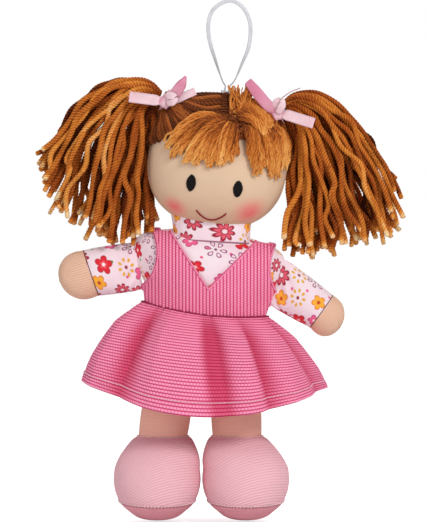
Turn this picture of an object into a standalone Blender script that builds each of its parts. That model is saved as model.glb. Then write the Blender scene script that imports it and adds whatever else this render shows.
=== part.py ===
"""A cloth rag doll with tied yarn hair and a knitted pinafore dress, hanging from its ribbon loop.

The doll faces -Y, and its left and right are the viewer's. The origin is the inner top of the
hanging loop. Stuffed pieces are lofts that swell and taper; each is cut by the larger piece that it
is sewn to, grown by the seam gap, so that pieces which turn on a seam stay clear of each other.
"""

import math

import bpy
import numpy as np
from mathutils import Matrix, Vector

# General values
GAP = 0.0003
CUT_GAP = 0.0004
OVERRUN = 0.08
RING_STEPS = 28
FULL_TURN = 2.0 * math.pi
UP = Vector((0.0, 0.0, 1.0))
ACROSS = Vector((1.0, 0.0, 0.0))

# Head: a stuffed ball, a little flat from front to back, rolled to the viewer's right
HEAD_X = -0.0073
HEAD_Z = -0.0930
HEAD_HALF_WIDTH = 0.0406
HEAD_HALF_DEPTH = 0.0300
HEAD_HALF_HEIGHT = 0.0375
HEAD_ROLL = math.radians(7.4)
HEAD_UPPER_POWER = 2.1
HEAD_LOWER_POWER = 2.35
HEAD_BANDS = 14

# Embroidered face, placed in shares of the head's half-width and half-height
EYE_ACROSS_SHARE = 0.3325
EYE_DROP_SHARE = 0.352
EYE_HALF_WIDTH = 0.0027
EYE_HALF_HEIGHT = 0.0045
EYE_THICKNESS = 0.0007
EYE_EDGE = 0.0004
EYE_STEPS = 16
MOUTH_WIDTH_SHARE = 0.2069
MOUTH_DROP_SHARE = 0.76
MOUTH_DEPTH_SHARE = 0.1173
MOUTH_RADIUS = 0.00045
MOUTH_POINTS = 13

# Yarn laid over the skull from the parting, down to a slanting edge
CAP_THICKNESS = 0.0030
CAP_EDGE_RISE = 0.0060
CAP_EDGE_SLOPE = 1.2
PARTING_HALF_WIDTH = 0.0007
PARTING_RIDGE = 0.0004

# Fringe: two flat lobes with a smooth upper edge and notched locks below, outlined in shares of
# the head's half-width and half-height
FRINGE_THICKNESS = 0.0050
FRINGE_EDGE = 0.0012
FRINGE_RINGS = 3
FRINGE_NOTCH_SHARE = 0.24
FRINGE_LEFT_SHARES = {
    "edge": ((0.31, 0.34), (0.24, 0.62), (0.10, 0.76), (-0.08, 0.72), (-0.29, 0.62), (-0.50, 0.47), (-0.67, 0.27)),
    "tips": ((-0.74, 0.10), (-0.66, -0.04), (-0.49, -0.05), (-0.31, -0.08), (-0.13, -0.07), (0.05, -0.05),
             (0.20, 0.01), (0.31, 0.12)),
}
FRINGE_RIGHT_SHARES = {
    "edge": ((0.95, 0.18), (0.90, 0.36), (0.80, 0.50), (0.64, 0.62), (0.47, 0.68), (0.37, 0.58), (0.38, 0.36),
             (0.42, 0.18)),
    "tips": ((0.48, 0.02), (0.60, -0.09), (0.72, -0.12), (0.84, -0.11), (0.93, 0.01)),
}

# Bound roots of the two bunches, in shares of the head's half-width and half-height
TIE_ACROSS_SHARES = {"left": -0.84, "right": 0.75}
TIE_RISE_SHARES = {"left": 0.84, "right": 0.88}
TIE_RADIUS = 0.0062
TIE_INNER_LENGTH = 0.0090
TIE_OUTER_LENGTH = 0.0030
TIE_SWELL = 0.0008
TIE_RISE_ANGLES = {"left": math.radians(26.0), "right": math.radians(22.0)}
TIE_STEPS = 20

# Loose bunches: a ball root in the dished end of the tie, and a fan of yarn below it
BUNCH_ROOT_RADIUS = 0.0066
BUNCH_DISH_DEPTH = 0.0014
BUNCH_LENGTH = 0.0960
BUNCH_THICKNESS = 0.0135
BUNCH_ROOT_THICKNESS = 0.0050
BUNCH_SWELL_POWER = 0.6
BUNCH_SET_BACK = 0.0020
BUNCH_STEPS = 20
# inner and outer edge of each fan, from its root ball, in shares of the bunch's length
BUNCH_LEFT_SHARES = (
    ((0.02, -0.04), (-0.02, 0.05)),
    ((-0.02, -0.09), (-0.11, 0.065)),
    ((-0.06, -0.17), (-0.33, 0.005)),
    ((-0.04, -0.32), (-0.50, -0.15)),
    ((-0.02, -0.50), (-0.63, -0.33)),
    ((-0.015, -0.66), (-0.71, -0.47)),
    ((-0.06, -0.76), (-0.68, -0.62)),
    ((-0.14, -0.82), (-0.62, -0.72)),
    ((-0.26, -0.835), (-0.52, -0.785)),
)
BUNCH_RIGHT_SHARES = (
    ((-0.02, -0.05), (0.02, 0.05)),
    ((-0.02, -0.11), (0.10, 0.085)),
    ((-0.01, -0.20), (0.27, 0.03)),
    ((-0.035, -0.36), (0.42, -0.11)),
    ((-0.035, -0.54), (0.55, -0.29)),
    ((-0.025, -0.68), (0.66, -0.46)),
    ((0.0, -0.77), (0.67, -0.60)),
    ((0.08, -0.83), (0.62, -0.72)),
    ((0.22, -0.84), (0.54, -0.79)),
)

# Ribbon bows on the ties
RIBBON_WIDTH = 0.0064
RIBBON_THICKNESS = 0.0008
KNOT_HALF_WIDTH = 0.0034
KNOT_HALF_HEIGHT = 0.0040
KNOT_HALF_DEPTH = 0.0030
KNOT_CORNER_POWER = 0.7
KNOT_TURNS = {"left": math.radians(32.0), "right": math.radians(-28.0)}
BOW_LENGTH = 0.0230
BOW_POINTS = 12
PINCH_SHARE = 0.45
PINCH_LENGTH = 0.0070
# paths of each bow's loops and tails: across, up and forward, in shares of the bow's length
BOW_LEFT_SHARES = {
    "loop": ((0.0, 0.0, 0.0), (0.20, 0.16, 0.10), (0.38, 0.40, 0.14), (0.50, 0.62, 0.20),
             (0.40, 0.42, 0.28), (0.22, 0.18, 0.24), (0.0, 0.0, 0.10)),
    "tail": ((0.0, 0.0, 0.0), (-0.30, 0.03, 0.14), (-0.60, 0.07, 0.22), (-0.92, 0.11, 0.24)),
    "short_tail": ((0.0, 0.0, 0.0), (0.28, 0.05, 0.10), (0.50, 0.15, 0.14), (0.74, 0.25, 0.14)),
}
BOW_RIGHT_SHARES = {
    "loop": ((0.0, 0.0, 0.0), (-0.22, 0.18, 0.10), (-0.46, 0.46, 0.14), (-0.74, 0.80, 0.20),
             (-0.50, 0.50, 0.30), (-0.24, 0.20, 0.26), (0.0, 0.0, 0.10)),
    "tail": ((0.0, 0.0, 0.0), (0.28, -0.06, 0.16), (0.60, -0.16, 0.26), (0.92, -0.26, 0.30)),
    "short_tail": ((0.0, 0.0, 0.0), (0.06, 0.28, 0.08), (0.30, 0.50, 0.12), (0.58, 0.62, 0.12)),
}

# Hanging loop and the stitching that holds its ends; the route is in metres from the origin
LOOP_RADIUS = 0.0010
LOOP_ENDS_APART = 0.0026
LOOP_STITCH_HALF_LENGTH = 0.0030
LOOP_STITCH_HALF_WIDTH = 0.0015
LOOP_STITCH_HEIGHT = 0.0012
LOOP_POINTS = 72
LOOP_ROUTE = (
    (-0.0046, 0.0, -0.0450),
    (-0.0085, 0.0, -0.0335),
    (-0.0122, 0.0, -0.0205),
    (-0.0122, 0.0, -0.0100),
    (-0.0085, 0.0, -0.0030),
    (0.0, 0.0, 0.0010),
    (0.0076, 0.0, -0.0032),
    (0.0117, 0.0, -0.0125),
    (0.0110, 0.0, -0.0250),
    (0.0074, 0.0, -0.0345),
    (0.0028, 0.0, -0.0450),
)

# Neck: a stuffed band that rocks in the top of the torso
NECK_X = -0.0107
NECK_SEAM_Z = -0.1380
NECK_HALF_WIDTH = 0.0238
NECK_HALF_DEPTH = 0.0112
NECK_HEIGHT = 0.0180
NECK_CORNER = 0.0030
NECK_STEPS = 24
# place across the neck and roundness of its ends, in shares of its half-width and half-depth
NECK_END_SHARES = (
    (-1.0, 0.72), (-0.96, 0.88), (-0.87, 1.0), (0.0, 1.0), (0.87, 1.0), (0.96, 0.88), (1.0, 0.72),
)
NECK_TURNS = (-25.0, -12.5, 0.0, 12.5, 25.0)
NECK_NOD = math.radians(15.0)
BISECTIONS = 30

# Torso: leans to the viewer's right, flat at the shoulder seams and at the hips
HIP_X = -0.0150
HIP_Z = -0.1960
TORSO_HEIGHT = 0.0628
TORSO_HALF_WIDTH = 0.0436
TORSO_HALF_DEPTH = 0.0190
TORSO_LEAN_SHARE = 0.06
TORSO_SLOPE = 0.12
TORSO_PILLOW_POWER = 1.6
# height, slope, half-width and half-depth of each section, in shares of those four values
TORSO_SHARES = (
    (0.00, 0.0, 0.66, 0.06),
    (0.14, 0.15, 0.70, 0.30),
    (0.28, 0.5, 0.76, 0.70),
    (0.43, 0.9, 0.81, 0.95),
    (0.56, 1.0, 0.905, 1.00),
    (0.70, 1.0, 0.975, 0.96),
    (0.82, 1.0, 1.00, 0.83),
    (0.905, 1.0, 0.91, 0.61),
    (0.96, 1.0, 0.70, 0.36),
    (1.00, 1.0, 0.42, 0.10),
)

# Arms: each turns on the flat stitched line across the shoulder
SHOULDER_TOP = {"left": (-0.0568, -0.1392), "right": (0.0325, -0.1490)}
SHOULDER_BOTTOM = {"left": (-0.0516, -0.1665), "right": (0.0238, -0.1740)}
WRIST_TOP = {"left": (-0.0850, -0.1438), "right": (0.0597, -0.1699)}
WRIST_BOTTOM = {"left": (-0.0761, -0.1692), "right": (0.0470, -0.1862)}
HAND_TIP = {"left": (-0.0994, -0.1568), "right": (0.0640, -0.1865)}
SEAM_RADIUS = 0.0020
SHOULDER_REACH_SHARE = 1.3
SHOULDER_CLEARANCE = 0.0036
ARM_HALF_THICKNESS = 0.0106
ARM_STEPS = 24
# distance along the sleeve, height swell and thickness of each section, in shares
SLEEVE_SHARES = (
    (-0.055, 0.80, 0.09), (0.0, 0.97, 0.18), (0.09, 1.00, 0.24), (0.22, 1.02, 0.43),
    (0.45, 1.03, 0.74), (0.72, 1.03, 0.95), (1.0, 1.0, 1.0),
)
HAND_SHARES = (
    (0.0, 1.0, 0.99), (0.30, 1.03, 0.99), (0.58, 0.94, 0.88), (0.82, 0.68, 0.66),
    (0.95, 0.36, 0.36),
)

# Hips and legs
HIP_SEAM_HALF_LENGTH = 0.0300
HIP_SEAM_RADIUS = 0.0024
LEG_TOP_X = {"left": -0.0316, "right": 0.0021}
ANKLE_X = {"left": -0.0389, "right": 0.0041}
ANKLE_Z = -0.2517
LEG_HALF_WIDTH = 0.0146
LEG_HALF_DEPTH = 0.0132
LEG_STEPS = 24
# distance down the leg, half-width and half-depth of each section, in shares
LEG_SHARES = (
    (-0.025, 0.80, 0.05), (0.02, 0.87, 0.12), (0.10, 0.90, 0.24), (0.22, 0.92, 0.43),
    (0.38, 0.94, 0.72), (0.58, 0.97, 0.95), (0.80, 1.0, 1.0), (1.0, 0.97, 0.98),
)

# Feet: round bulbs that point forward, with a sole panel below
FOOT_X = {"left": -0.0422, "right": 0.0091}
FOOT_HALF_WIDTH = 0.0245
FOOT_LENGTH = 0.0560
FOOT_HEEL_BACK = 0.0165
FOOT_HEIGHT = 0.0392
SOLE_HEIGHT = 0.0092
FOOT_CORNER_POWER = 0.9
FOOT_BEND_SHARE = 0.5
FOOT_STEPS = 28
# drop below the ankle, half-width, heel and length of each section, in shares
FOOT_SHARES = (
    (0.0, 0.56, 0.78, 0.46), (0.07, 0.74, 0.88, 0.60), (0.20, 0.87, 0.94, 0.76),
    (0.40, 0.96, 0.98, 0.90), (0.62, 1.0, 1.0, 0.98), (0.82, 0.99, 1.0, 1.0),
    (1.0, 0.95, 0.96, 0.97),
)
SOLE_SHARES = (
    (0.0, 0.94, 0.95, 0.96), (0.35, 0.89, 0.90, 0.92), (0.72, 0.78, 0.78, 0.83),
    (1.0, 0.60, 0.60, 0.68),
)

# Dress: the bodice is a shell over the torso, and the skirt hangs below its waist seam
DRESS_THICKNESS = 0.0018
WAIST_X = -0.0146
WAIST_Z = -0.1778
WAIST_SLOPE = 0.12
ARMHOLE_CENTRE = {"left": (-0.0580, -0.1444), "right": (0.0390, -0.1540)}
ARMHOLE_HALF_WIDTH = 0.0162
ARMHOLE_HALF_HEIGHT = 0.0220
ARMHOLE_STEPS = 32
NECKLINE_FRONT = ((-0.0128, -0.1659), (-0.0336, -0.1335), (-0.0420, -0.1200), (0.0230, -0.1200),
                  (0.0145, -0.1398))
NECKLINE_BACK = ((-0.0240, -0.1470), (-0.0336, -0.1360), (-0.0420, -0.1200), (0.0230, -0.1200),
                 (0.0145, -0.1410), (0.0020, -0.1500))
SKIRT_LENGTH = 0.0485
SKIRT_ROUND_SHARE = 0.3
HEM_HALF_WIDTH = 0.0680
HEM_HALF_DEPTH = 0.0430
HEM_X = -0.0150
HEM_SLOPE = 0.025
HEM_FRONT_DROP = 0.0135
SKIRT_WALL = 0.0013
FOLD_COUNT = 10
FOLD_TOP = 0.0004
FOLD_HEM = 0.0034
FOLD_TURN = math.radians(3.0)
HEM_FOLD_HEIGHT = 0.0032
HEM_FOLD_EXTRA = 0.0005
SKIRT_STEPS = 70
# distance down the skirt and share of the flare reached there
SKIRT_SHARES = ((0.0, 0.0), (0.08, 0.15), (0.28, 0.42), (0.55, 0.69), (0.80, 0.89), (1.0, 1.0))


def remove_old_objects():
    """Empty the scene, so that a second run starts clean."""
    for old in list(bpy.data.objects):
        bpy.data.objects.remove(old, do_unlink=True)


def material(name, colour, roughness):
    """A plain cloth-like surface of one colour."""
    made = bpy.data.materials.new(name)
    made.use_nodes = True
    shader = made.node_tree.nodes["Principled BSDF"]
    shader.inputs["Base Color"].default_value = (*colour, 1.0)
    shader.inputs["Roughness"].default_value = roughness
    shader.inputs["Metallic"].default_value = 0.0
    made.diffuse_color = (*colour, 1.0)
    return made


def solid(name, shape, finish, parent=None):
    """One named object from (vertices, faces), with its origin on its parent's place."""
    points, faces = shape
    origin = parent.matrix_world if parent else Matrix.Identity(4)
    inverse = origin.inverted()
    mesh = bpy.data.meshes.new(name)
    mesh.from_pydata([inverse @ Vector(point) for point in points], [], faces)
    mesh.validate()
    mesh.shade_smooth()
    made = bpy.data.objects.new(name, mesh)
    bpy.context.scene.collection.objects.link(made)
    mesh.materials.append(finish)
    if parent:
        made.parent = parent
    return made


def empty(name, place, direction=None):
    """A hinge or frame marker, with its X axis along a direction where one is given."""
    made = bpy.data.objects.new(name, None)
    bpy.context.scene.collection.objects.link(made)
    made.location = place
    if direction is not None:
        made.rotation_mode = "QUATERNION"
        made.rotation_quaternion = ACROSS.rotation_difference(direction)
    bpy.context.view_layer.update()
    return made


def cutter(name, shape):
    """A hidden guide solid for a Boolean."""
    points, faces = shape
    mesh = bpy.data.meshes.new(name)
    mesh.from_pydata([tuple(point) for point in points], [], faces)
    made = bpy.data.objects.new(name, mesh)
    bpy.context.scene.collection.objects.link(made)
    made.hide_render = True
    made.display_type = "WIRE"
    return made


def boolean(target, tool, operation):
    """Cut, join or intersect a solid with a guide."""
    change = target.modifiers.new(f"{operation.lower()}_{tool.name}", "BOOLEAN")
    change.operation = operation
    change.solver = "EXACT"
    change.object = tool


def loft(rings, pole_start=None, pole_end=None):
    """A closed solid through rings of equal counts, ended by a pole or by a flat fan."""
    count = len(rings[0])
    start = np.mean(rings[0], axis=0) if pole_start is None else pole_start
    end = np.mean(rings[-1], axis=0) if pole_end is None else pole_end
    points = np.vstack([*rings, [start], [end]])
    faces = []
    for ring in range(len(rings) - 1):
        for step in range(count):
            here = ring * count + step
            beside = ring * count + (step + 1) % count
            faces.append((here, beside, beside + count, here + count))
    first = len(rings) * count
    last = (len(rings) - 1) * count
    for step in range(count):
        beside = (step + 1) % count
        faces.append((first, beside, step))
        faces.append((first + 1, last + step, last + beside))
    return outward((points, faces))


def outward(shape):
    """The same solid with its faces pointing out."""
    points, faces = shape
    points = np.asarray(points, dtype=float)
    volume = 0.0
    for face in faces:
        for second, third in zip(face[1:-1], face[2:]):
            volume += float(np.dot(points[face[0]], np.cross(points[second], points[third])))
    if volume < 0.0:
        faces = [tuple(reversed(face)) for face in faces]
    return points, faces


def grown(shape, by):
    """The solid with every vertex moved out along its normal."""
    points, faces = shape
    normals = np.zeros_like(points)
    for face in faces:
        for second, third in zip(face[1:-1], face[2:]):
            area = np.cross(points[second] - points[face[0]], points[third] - points[face[0]])
            for corner in (face[0], second, third):
                normals[corner] += area
    lengths = np.linalg.norm(normals, axis=1)
    lengths[lengths == 0.0] = 1.0
    return points + normals / lengths[:, None] * by, faces


def box(low, high):
    """A box between two corners."""
    corners = [(x, y, z) for z in (low[2], high[2]) for y in (low[1], high[1]) for x in (low[0], high[0])]
    faces = [(0, 2, 3, 1), (4, 5, 7, 6), (0, 1, 5, 4), (2, 6, 7, 3), (0, 4, 6, 2), (1, 3, 7, 5)]
    return np.array(corners), faces


def prism(outline, back, front):
    """An outline in X and Z, drawn out from one Y to another."""
    count = len(outline)
    points = [(x, back, z) for x, z in outline] + [(x, front, z) for x, z in outline]
    faces = [tuple(range(count)), tuple(reversed(range(count, 2 * count)))]
    for step in range(count):
        beside = (step + 1) % count
        faces.append((step, step + count, beside + count, beside))
    return outward((points, faces))


def angles(steps):
    """Evenly spaced angles of one full turn."""
    return np.arange(steps) / steps * FULL_TURN


def level_ring(centre, half_width, half_depth, steps, power=1.0):
    """A level section; a power over 1 draws its sides to a flat seam."""
    turn = angles(steps)
    across = half_width * np.cos(turn)
    depth = half_depth * np.sign(np.sin(turn)) * np.abs(np.sin(turn)) ** power
    return np.column_stack([centre[0] + across, centre[1] + depth, np.full(steps, centre[2])])


# Head and hair

HEAD_MIDDLE = np.array([HEAD_X, 0.0, HEAD_Z])
HEAD_TURN = np.array(Matrix.Rotation(HEAD_ROLL, 3, "Y"))


def from_head(points):
    """Places given from the middle of the rolled head, in the doll's frame."""
    return np.asarray(points) @ HEAD_TURN.T + HEAD_MIDDLE


def head_shape(growth=0.0):
    """The skull with its fuller lower face, or the same grown."""
    turn = angles(RING_STEPS)
    rings = []
    for band in range(1, HEAD_BANDS):
        rise = math.pi * band / HEAD_BANDS
        way = np.column_stack([
            math.sin(rise) * np.cos(turn), math.sin(rise) * np.sin(turn),
            np.full(RING_STEPS, math.cos(rise)),
        ])
        rings.append(way * head_reach(way, growth)[:, None])
    poles = [np.array([0.0, 0.0, side * (HEAD_HALF_HEIGHT + growth)]) for side in (1.0, -1.0)]
    return loft([from_head(ring) for ring in rings], from_head(poles[0]), from_head(poles[1]))


def head_reach(way, growth):
    """Distance from the middle to the surface along unit directions."""
    power = np.where(way[:, 2] < 0.0, HEAD_LOWER_POWER, HEAD_UPPER_POWER)
    wide = np.abs(way[:, 0]) / (HEAD_HALF_WIDTH + growth)
    tall = np.abs(way[:, 2]) / (HEAD_HALF_HEIGHT + growth)
    deep = way[:, 1] / (HEAD_HALF_DEPTH + growth)
    front = (wide ** power + tall ** power) ** (2.0 / power)
    return 1.0 / np.sqrt(front + deep ** 2)


def on_face(across, up, lift):
    """Places on the front of the head, lifted off it along its normal."""
    across = np.asarray(across, dtype=float)
    up = np.asarray(up, dtype=float)
    power = np.where(up < 0.0, HEAD_LOWER_POWER, HEAD_UPPER_POWER)
    wide = np.abs(across / HEAD_HALF_WIDTH)
    tall = np.abs(up / HEAD_HALF_HEIGHT)
    total = wide ** power + tall ** power
    front = total ** (2.0 / power)
    depth = -HEAD_HALF_DEPTH * np.sqrt(1.0 - front)
    slope = 2.0 * total ** (2.0 / power - 1.0)
    normal = np.column_stack([
        slope * wide ** (power - 1.0) * np.sign(across) / HEAD_HALF_WIDTH,
        2.0 * depth / HEAD_HALF_DEPTH ** 2,
        slope * tall ** (power - 1.0) * np.sign(up) / HEAD_HALF_HEIGHT,
    ])
    normal /= np.linalg.norm(normal, axis=1)[:, None]
    return np.column_stack([across, depth, up]) + normal * np.asarray(lift)[..., None]


def face_patch(outline, under, edge, thickness, rings):
    """A domed patch on the face inside an outline of (across, up) places, from a lift under it."""
    outline = np.asarray(outline)
    middle = outline.mean(axis=0)
    layers = []
    for ring in range(1, rings + 1):
        layers.append((ring / rings, under))
    for ring in range(rings, 0, -1):
        share = ring / rings
        layers.append((share, under + edge + (thickness - edge) * (1.0 - share ** 2)))
    shapes = []
    for share, lift in layers:
        places = middle + (outline - middle) * share
        shapes.append(from_head(on_face(places[:, 0], places[:, 1], np.full(len(places), lift))))
    low = from_head(on_face(middle[:1], middle[1:], np.array([under])))[0]
    high = from_head(on_face(middle[:1], middle[1:], np.array([under + thickness])))[0]
    return loft(shapes, low, high)


def make_face(finishes, frame):
    """Eyes and mouth, stitched on the front of the head."""
    turn = angles(EYE_STEPS)
    for side, name in ((-1.0, "eye_left"), (1.0, "eye_right")):
        oval = np.column_stack([
            side * EYE_ACROSS_SHARE * HEAD_HALF_WIDTH + EYE_HALF_WIDTH * np.cos(turn),
            -EYE_DROP_SHARE * HEAD_HALF_HEIGHT + EYE_HALF_HEIGHT * np.sin(turn),
        ])
        solid(name, face_patch(oval, GAP, EYE_EDGE, EYE_THICKNESS, 2), finishes["black"], frame)
    share = np.linspace(-1.0, 1.0, MOUTH_POINTS)
    across = share * MOUTH_WIDTH_SHARE * HEAD_HALF_WIDTH
    up = -(MOUTH_DROP_SHARE + MOUTH_DEPTH_SHARE * (1.0 - share ** 2)) * HEAD_HALF_HEIGHT
    lift = np.full(MOUTH_POINTS, GAP + MOUTH_RADIUS)
    tube("mouth_stitch", from_head(on_face(across, up, lift)), MOUTH_RADIUS, finishes["crimson"], frame)


def tube(name, points, radius, finish, parent=None):
    """A thread or ribbon as a curve with a round bevel and filled ends."""
    inverse = (parent.matrix_world if parent else Matrix.Identity(4)).inverted()
    curve = bpy.data.curves.new(name, "CURVE")
    curve.dimensions = "3D"
    curve.bevel_depth = radius
    curve.bevel_resolution = 2
    curve.use_fill_caps = True
    line = curve.splines.new("POLY")
    line.points.add(len(points) - 1)
    for place, point in zip(line.points, points):
        place.co = (*(inverse @ Vector(point)), 1.0)
    made = bpy.data.objects.new(name, curve)
    bpy.context.scene.collection.objects.link(made)
    curve.materials.append(finish)
    if parent:
        made.parent = parent
    return made


def head_box(low, high):
    """A box whose corners are given from the middle of the rolled head."""
    points, faces = box(low, high)
    return from_head(points), faces


def cap_edge_box():
    """The space below and before the slanting front edge of the yarn cap."""
    outline = [
        (-OVERRUN, CAP_EDGE_RISE + CAP_EDGE_SLOPE * OVERRUN),
        (-OVERRUN, -OVERRUN),
        (OVERRUN, -OVERRUN),
        (OVERRUN, CAP_EDGE_RISE - CAP_EDGE_SLOPE * OVERRUN),
    ]
    points = [(side, y, z) for side in (-OVERRUN, OVERRUN) for y, z in outline]
    faces = [(0, 1, 2, 3), (7, 6, 5, 4)]
    faces += [(step, step + 4, (step + 1) % 4 + 4, (step + 1) % 4) for step in range(4)]
    points, faces = outward((points, faces))
    return from_head(points), faces


def make_hair_cap(finishes, frame, fringes):
    """Two halves of laid yarn, and the stitched ridge between them."""
    inner = cutter("cut_cap_inside", head_shape(GAP))
    edge = cutter("cut_cap_edge", cap_edge_box())
    groove = PARTING_HALF_WIDTH + GAP
    for side, name in ((-1.0, "hair_cap_left"), (1.0, "hair_cap_right")):
        made = solid(name, head_shape(GAP + CAP_THICKNESS), finishes["yarn"], frame)
        low = (-groove if side < 0.0 else -OVERRUN, -OVERRUN, -OVERRUN)
        high = (OVERRUN if side < 0.0 else groove, OVERRUN, OVERRUN)
        boolean(made, cutter(f"cut_{name}_side", head_box(low, high)), "DIFFERENCE")
        boolean(made, inner, "DIFFERENCE")
        boolean(made, edge, "DIFFERENCE")
        for fringe in fringes:
            boolean(made, fringe, "DIFFERENCE")
    ridge = solid("parting_seam", head_shape(GAP + CAP_THICKNESS + PARTING_RIDGE), finishes["thread"], frame)
    slot = head_box((-PARTING_HALF_WIDTH, -OVERRUN, -OVERRUN), (PARTING_HALF_WIDTH, OVERRUN, OVERRUN))
    boolean(ridge, cutter("keep_parting", slot), "INTERSECT")
    boolean(ridge, inner, "DIFFERENCE")
    boolean(ridge, edge, "DIFFERENCE")
    for fringe in fringes:
        boolean(ridge, fringe, "DIFFERENCE")


def lobe_outline(shares):
    """Outline of a fringe lobe: its upper edge, then its locks' tips with a notch between each two."""
    edge, tips = np.array(shares["edge"]), np.array(shares["tips"])
    middle = np.vstack([edge, tips]).mean(axis=0)
    between = (tips[1:] + tips[:-1]) / 2.0
    lower = np.empty((len(tips) + len(between), 2))
    lower[0::2] = tips
    lower[1::2] = between + (middle - between) * FRINGE_NOTCH_SHARE
    return np.vstack([edge, lower]) * np.array([HEAD_HALF_WIDTH, HEAD_HALF_HEIGHT])


def make_fringe(finishes, frame):
    """Two brushed lobes of yarn over the forehead; returns the guides that clear the cap."""
    guides = []
    skull = cutter("cut_fringe_inside", head_shape(GAP))
    for name, shares in (("fringe_left", FRINGE_LEFT_SHARES), ("fringe_right", FRINGE_RIGHT_SHARES)):
        shape = face_patch(lobe_outline(shares), 0.0, FRINGE_EDGE, FRINGE_THICKNESS, FRINGE_RINGS)
        boolean(solid(name, shape, finishes["fringe"], frame), skull, "DIFFERENCE")
        guides.append(cutter(f"cut_{name}", grown(shape, CUT_GAP)))
    return guides


def tie_place(side):
    """Middle of a bunch's binding, and the direction it points."""
    across = TIE_ACROSS_SHARES[side] * HEAD_HALF_WIDTH
    up = TIE_RISE_SHARES[side] * HEAD_HALF_HEIGHT
    rise = TIE_RISE_ANGLES[side]
    sign = -1.0 if side == "left" else 1.0
    return from_head([across, 0.0, up]), np.array([sign * math.cos(rise), 0.0, math.sin(rise)])


def bunch_root(side):
    """Middle of the ball on which a loose bunch swings."""
    middle, way = tie_place(side)
    return middle + way * (TIE_OUTER_LENGTH + BUNCH_ROOT_RADIUS - BUNCH_DISH_DEPTH)


def make_tie(finishes, frame, side, skull):
    """The bound root of a bunch: a short swelling stub, dished for the ball of loose yarn."""
    middle, way = tie_place(side)
    beside = np.array([-way[2], 0.0, way[0]])
    turn = angles(TIE_STEPS)
    rings = []
    for along, radius in (
        (-TIE_INNER_LENGTH, TIE_RADIUS), (-TIE_OUTER_LENGTH, TIE_RADIUS),
        (0.0, TIE_RADIUS + TIE_SWELL), (TIE_OUTER_LENGTH, TIE_RADIUS),
    ):
        around = np.outer(np.cos(turn), beside) + np.outer(np.sin(turn), np.array([0.0, 1.0, 0.0]))
        rings.append(middle + way * along + around * radius)
    made = solid(f"hair_tie_{side}", loft(rings), finishes["tie"], frame)
    dish = grown(ball(bunch_root(side), BUNCH_ROOT_RADIUS), CUT_GAP)
    boolean(made, cutter(f"cut_tie_{side}", dish), "DIFFERENCE")
    boolean(made, skull, "DIFFERENCE")


def ball(middle, radius):
    """A sphere."""
    turn = angles(TIE_STEPS)
    rings = []
    bands = TIE_STEPS // 2
    for band in range(1, bands):
        rise = math.pi * band / bands
        level = middle + np.array([0.0, 0.0, math.cos(rise) * radius])
        rings.append(level_ring(level, math.sin(rise) * radius, math.sin(rise) * radius, TIE_STEPS))
    top = middle + np.array([0.0, 0.0, radius])
    bottom = middle - np.array([0.0, 0.0, radius])
    return loft(rings, top, bottom)


def make_bunch(finishes, side, shares, skull):
    """A loose fan of yarn on its ball root, hinged where the binding ends."""
    root = bunch_root(side)
    hinge = empty(f"hinge_ponytail_{side}", root)
    turn = angles(BUNCH_STEPS)
    rings = []
    for (inner_x, inner_z), (outer_x, outer_z) in shares:
        inner = root + np.array([inner_x, 0.0, inner_z]) * BUNCH_LENGTH
        outer = root + np.array([outer_x, 0.0, outer_z]) * BUNCH_LENGTH
        middle = (inner + outer) / 2.0
        away = np.linalg.norm(middle - root) / BUNCH_LENGTH
        swell = min(1.0, away ** BUNCH_SWELL_POWER)
        thick = BUNCH_ROOT_THICKNESS + (BUNCH_THICKNESS - BUNCH_ROOT_THICKNESS) * swell
        back = np.array([0.0, BUNCH_SET_BACK * swell, 0.0])
        rings.append(
            middle + back + np.outer(np.cos(turn), (outer - inner) / 2.0)
            + np.outer(np.sin(turn), np.array([0.0, thick, 0.0]))
        )
    made = solid(f"ponytail_{side}", loft(rings), finishes["yarn"], hinge)
    boolean(made, cutter(f"join_ponytail_{side}", ball(root, BUNCH_ROOT_RADIUS)), "UNION")
    boolean(made, skull, "DIFFERENCE")


def strip(path, width_way, widths, thickness):
    """A flat ribbon along a path of places, with its width along one direction."""
    path = np.asarray(path)
    along = np.gradient(path, axis=0)
    along /= np.linalg.norm(along, axis=1)[:, None]
    wide = width_way - along * (along @ width_way)[:, None]
    wide /= np.linalg.norm(wide, axis=1)[:, None]
    flat = np.cross(along, wide)
    rings = []
    for place, side, out, width in zip(path, wide, flat, widths):
        rings.append(np.array([
            place + side * width / 2.0 * across + out * thickness / 2.0 * up
            for across, up in ((-1.0, -1.0), (1.0, -1.0), (1.0, 1.0), (-1.0, 1.0))
        ]))
    return loft(rings)


def make_knot(centre, turned):
    """The knot of a bow: a soft square pillow, turned in the plane of the bow."""
    turn = angles(EYE_STEPS)
    bands = EYE_STEPS // 2
    rings = []
    for band in range(1, bands):
        rise = math.pi * band / bands
        level = math.copysign(abs(math.cos(rise)) ** KNOT_CORNER_POWER, math.cos(rise)) * KNOT_HALF_HEIGHT
        swell = math.sin(rise) ** KNOT_CORNER_POWER
        rings.append(np.column_stack([
            KNOT_HALF_WIDTH * swell * np.cos(turn),
            KNOT_HALF_DEPTH * swell * np.sin(turn),
            np.full(EYE_STEPS, level),
        ]))
    pole = np.array([0.0, 0.0, KNOT_HALF_HEIGHT])
    tilt = np.array(Matrix.Rotation(turned, 3, "Y"))
    rings = [centre + ring @ tilt.T for ring in rings]
    return loft(rings, centre + tilt @ pole, centre - tilt @ pole)


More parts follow.
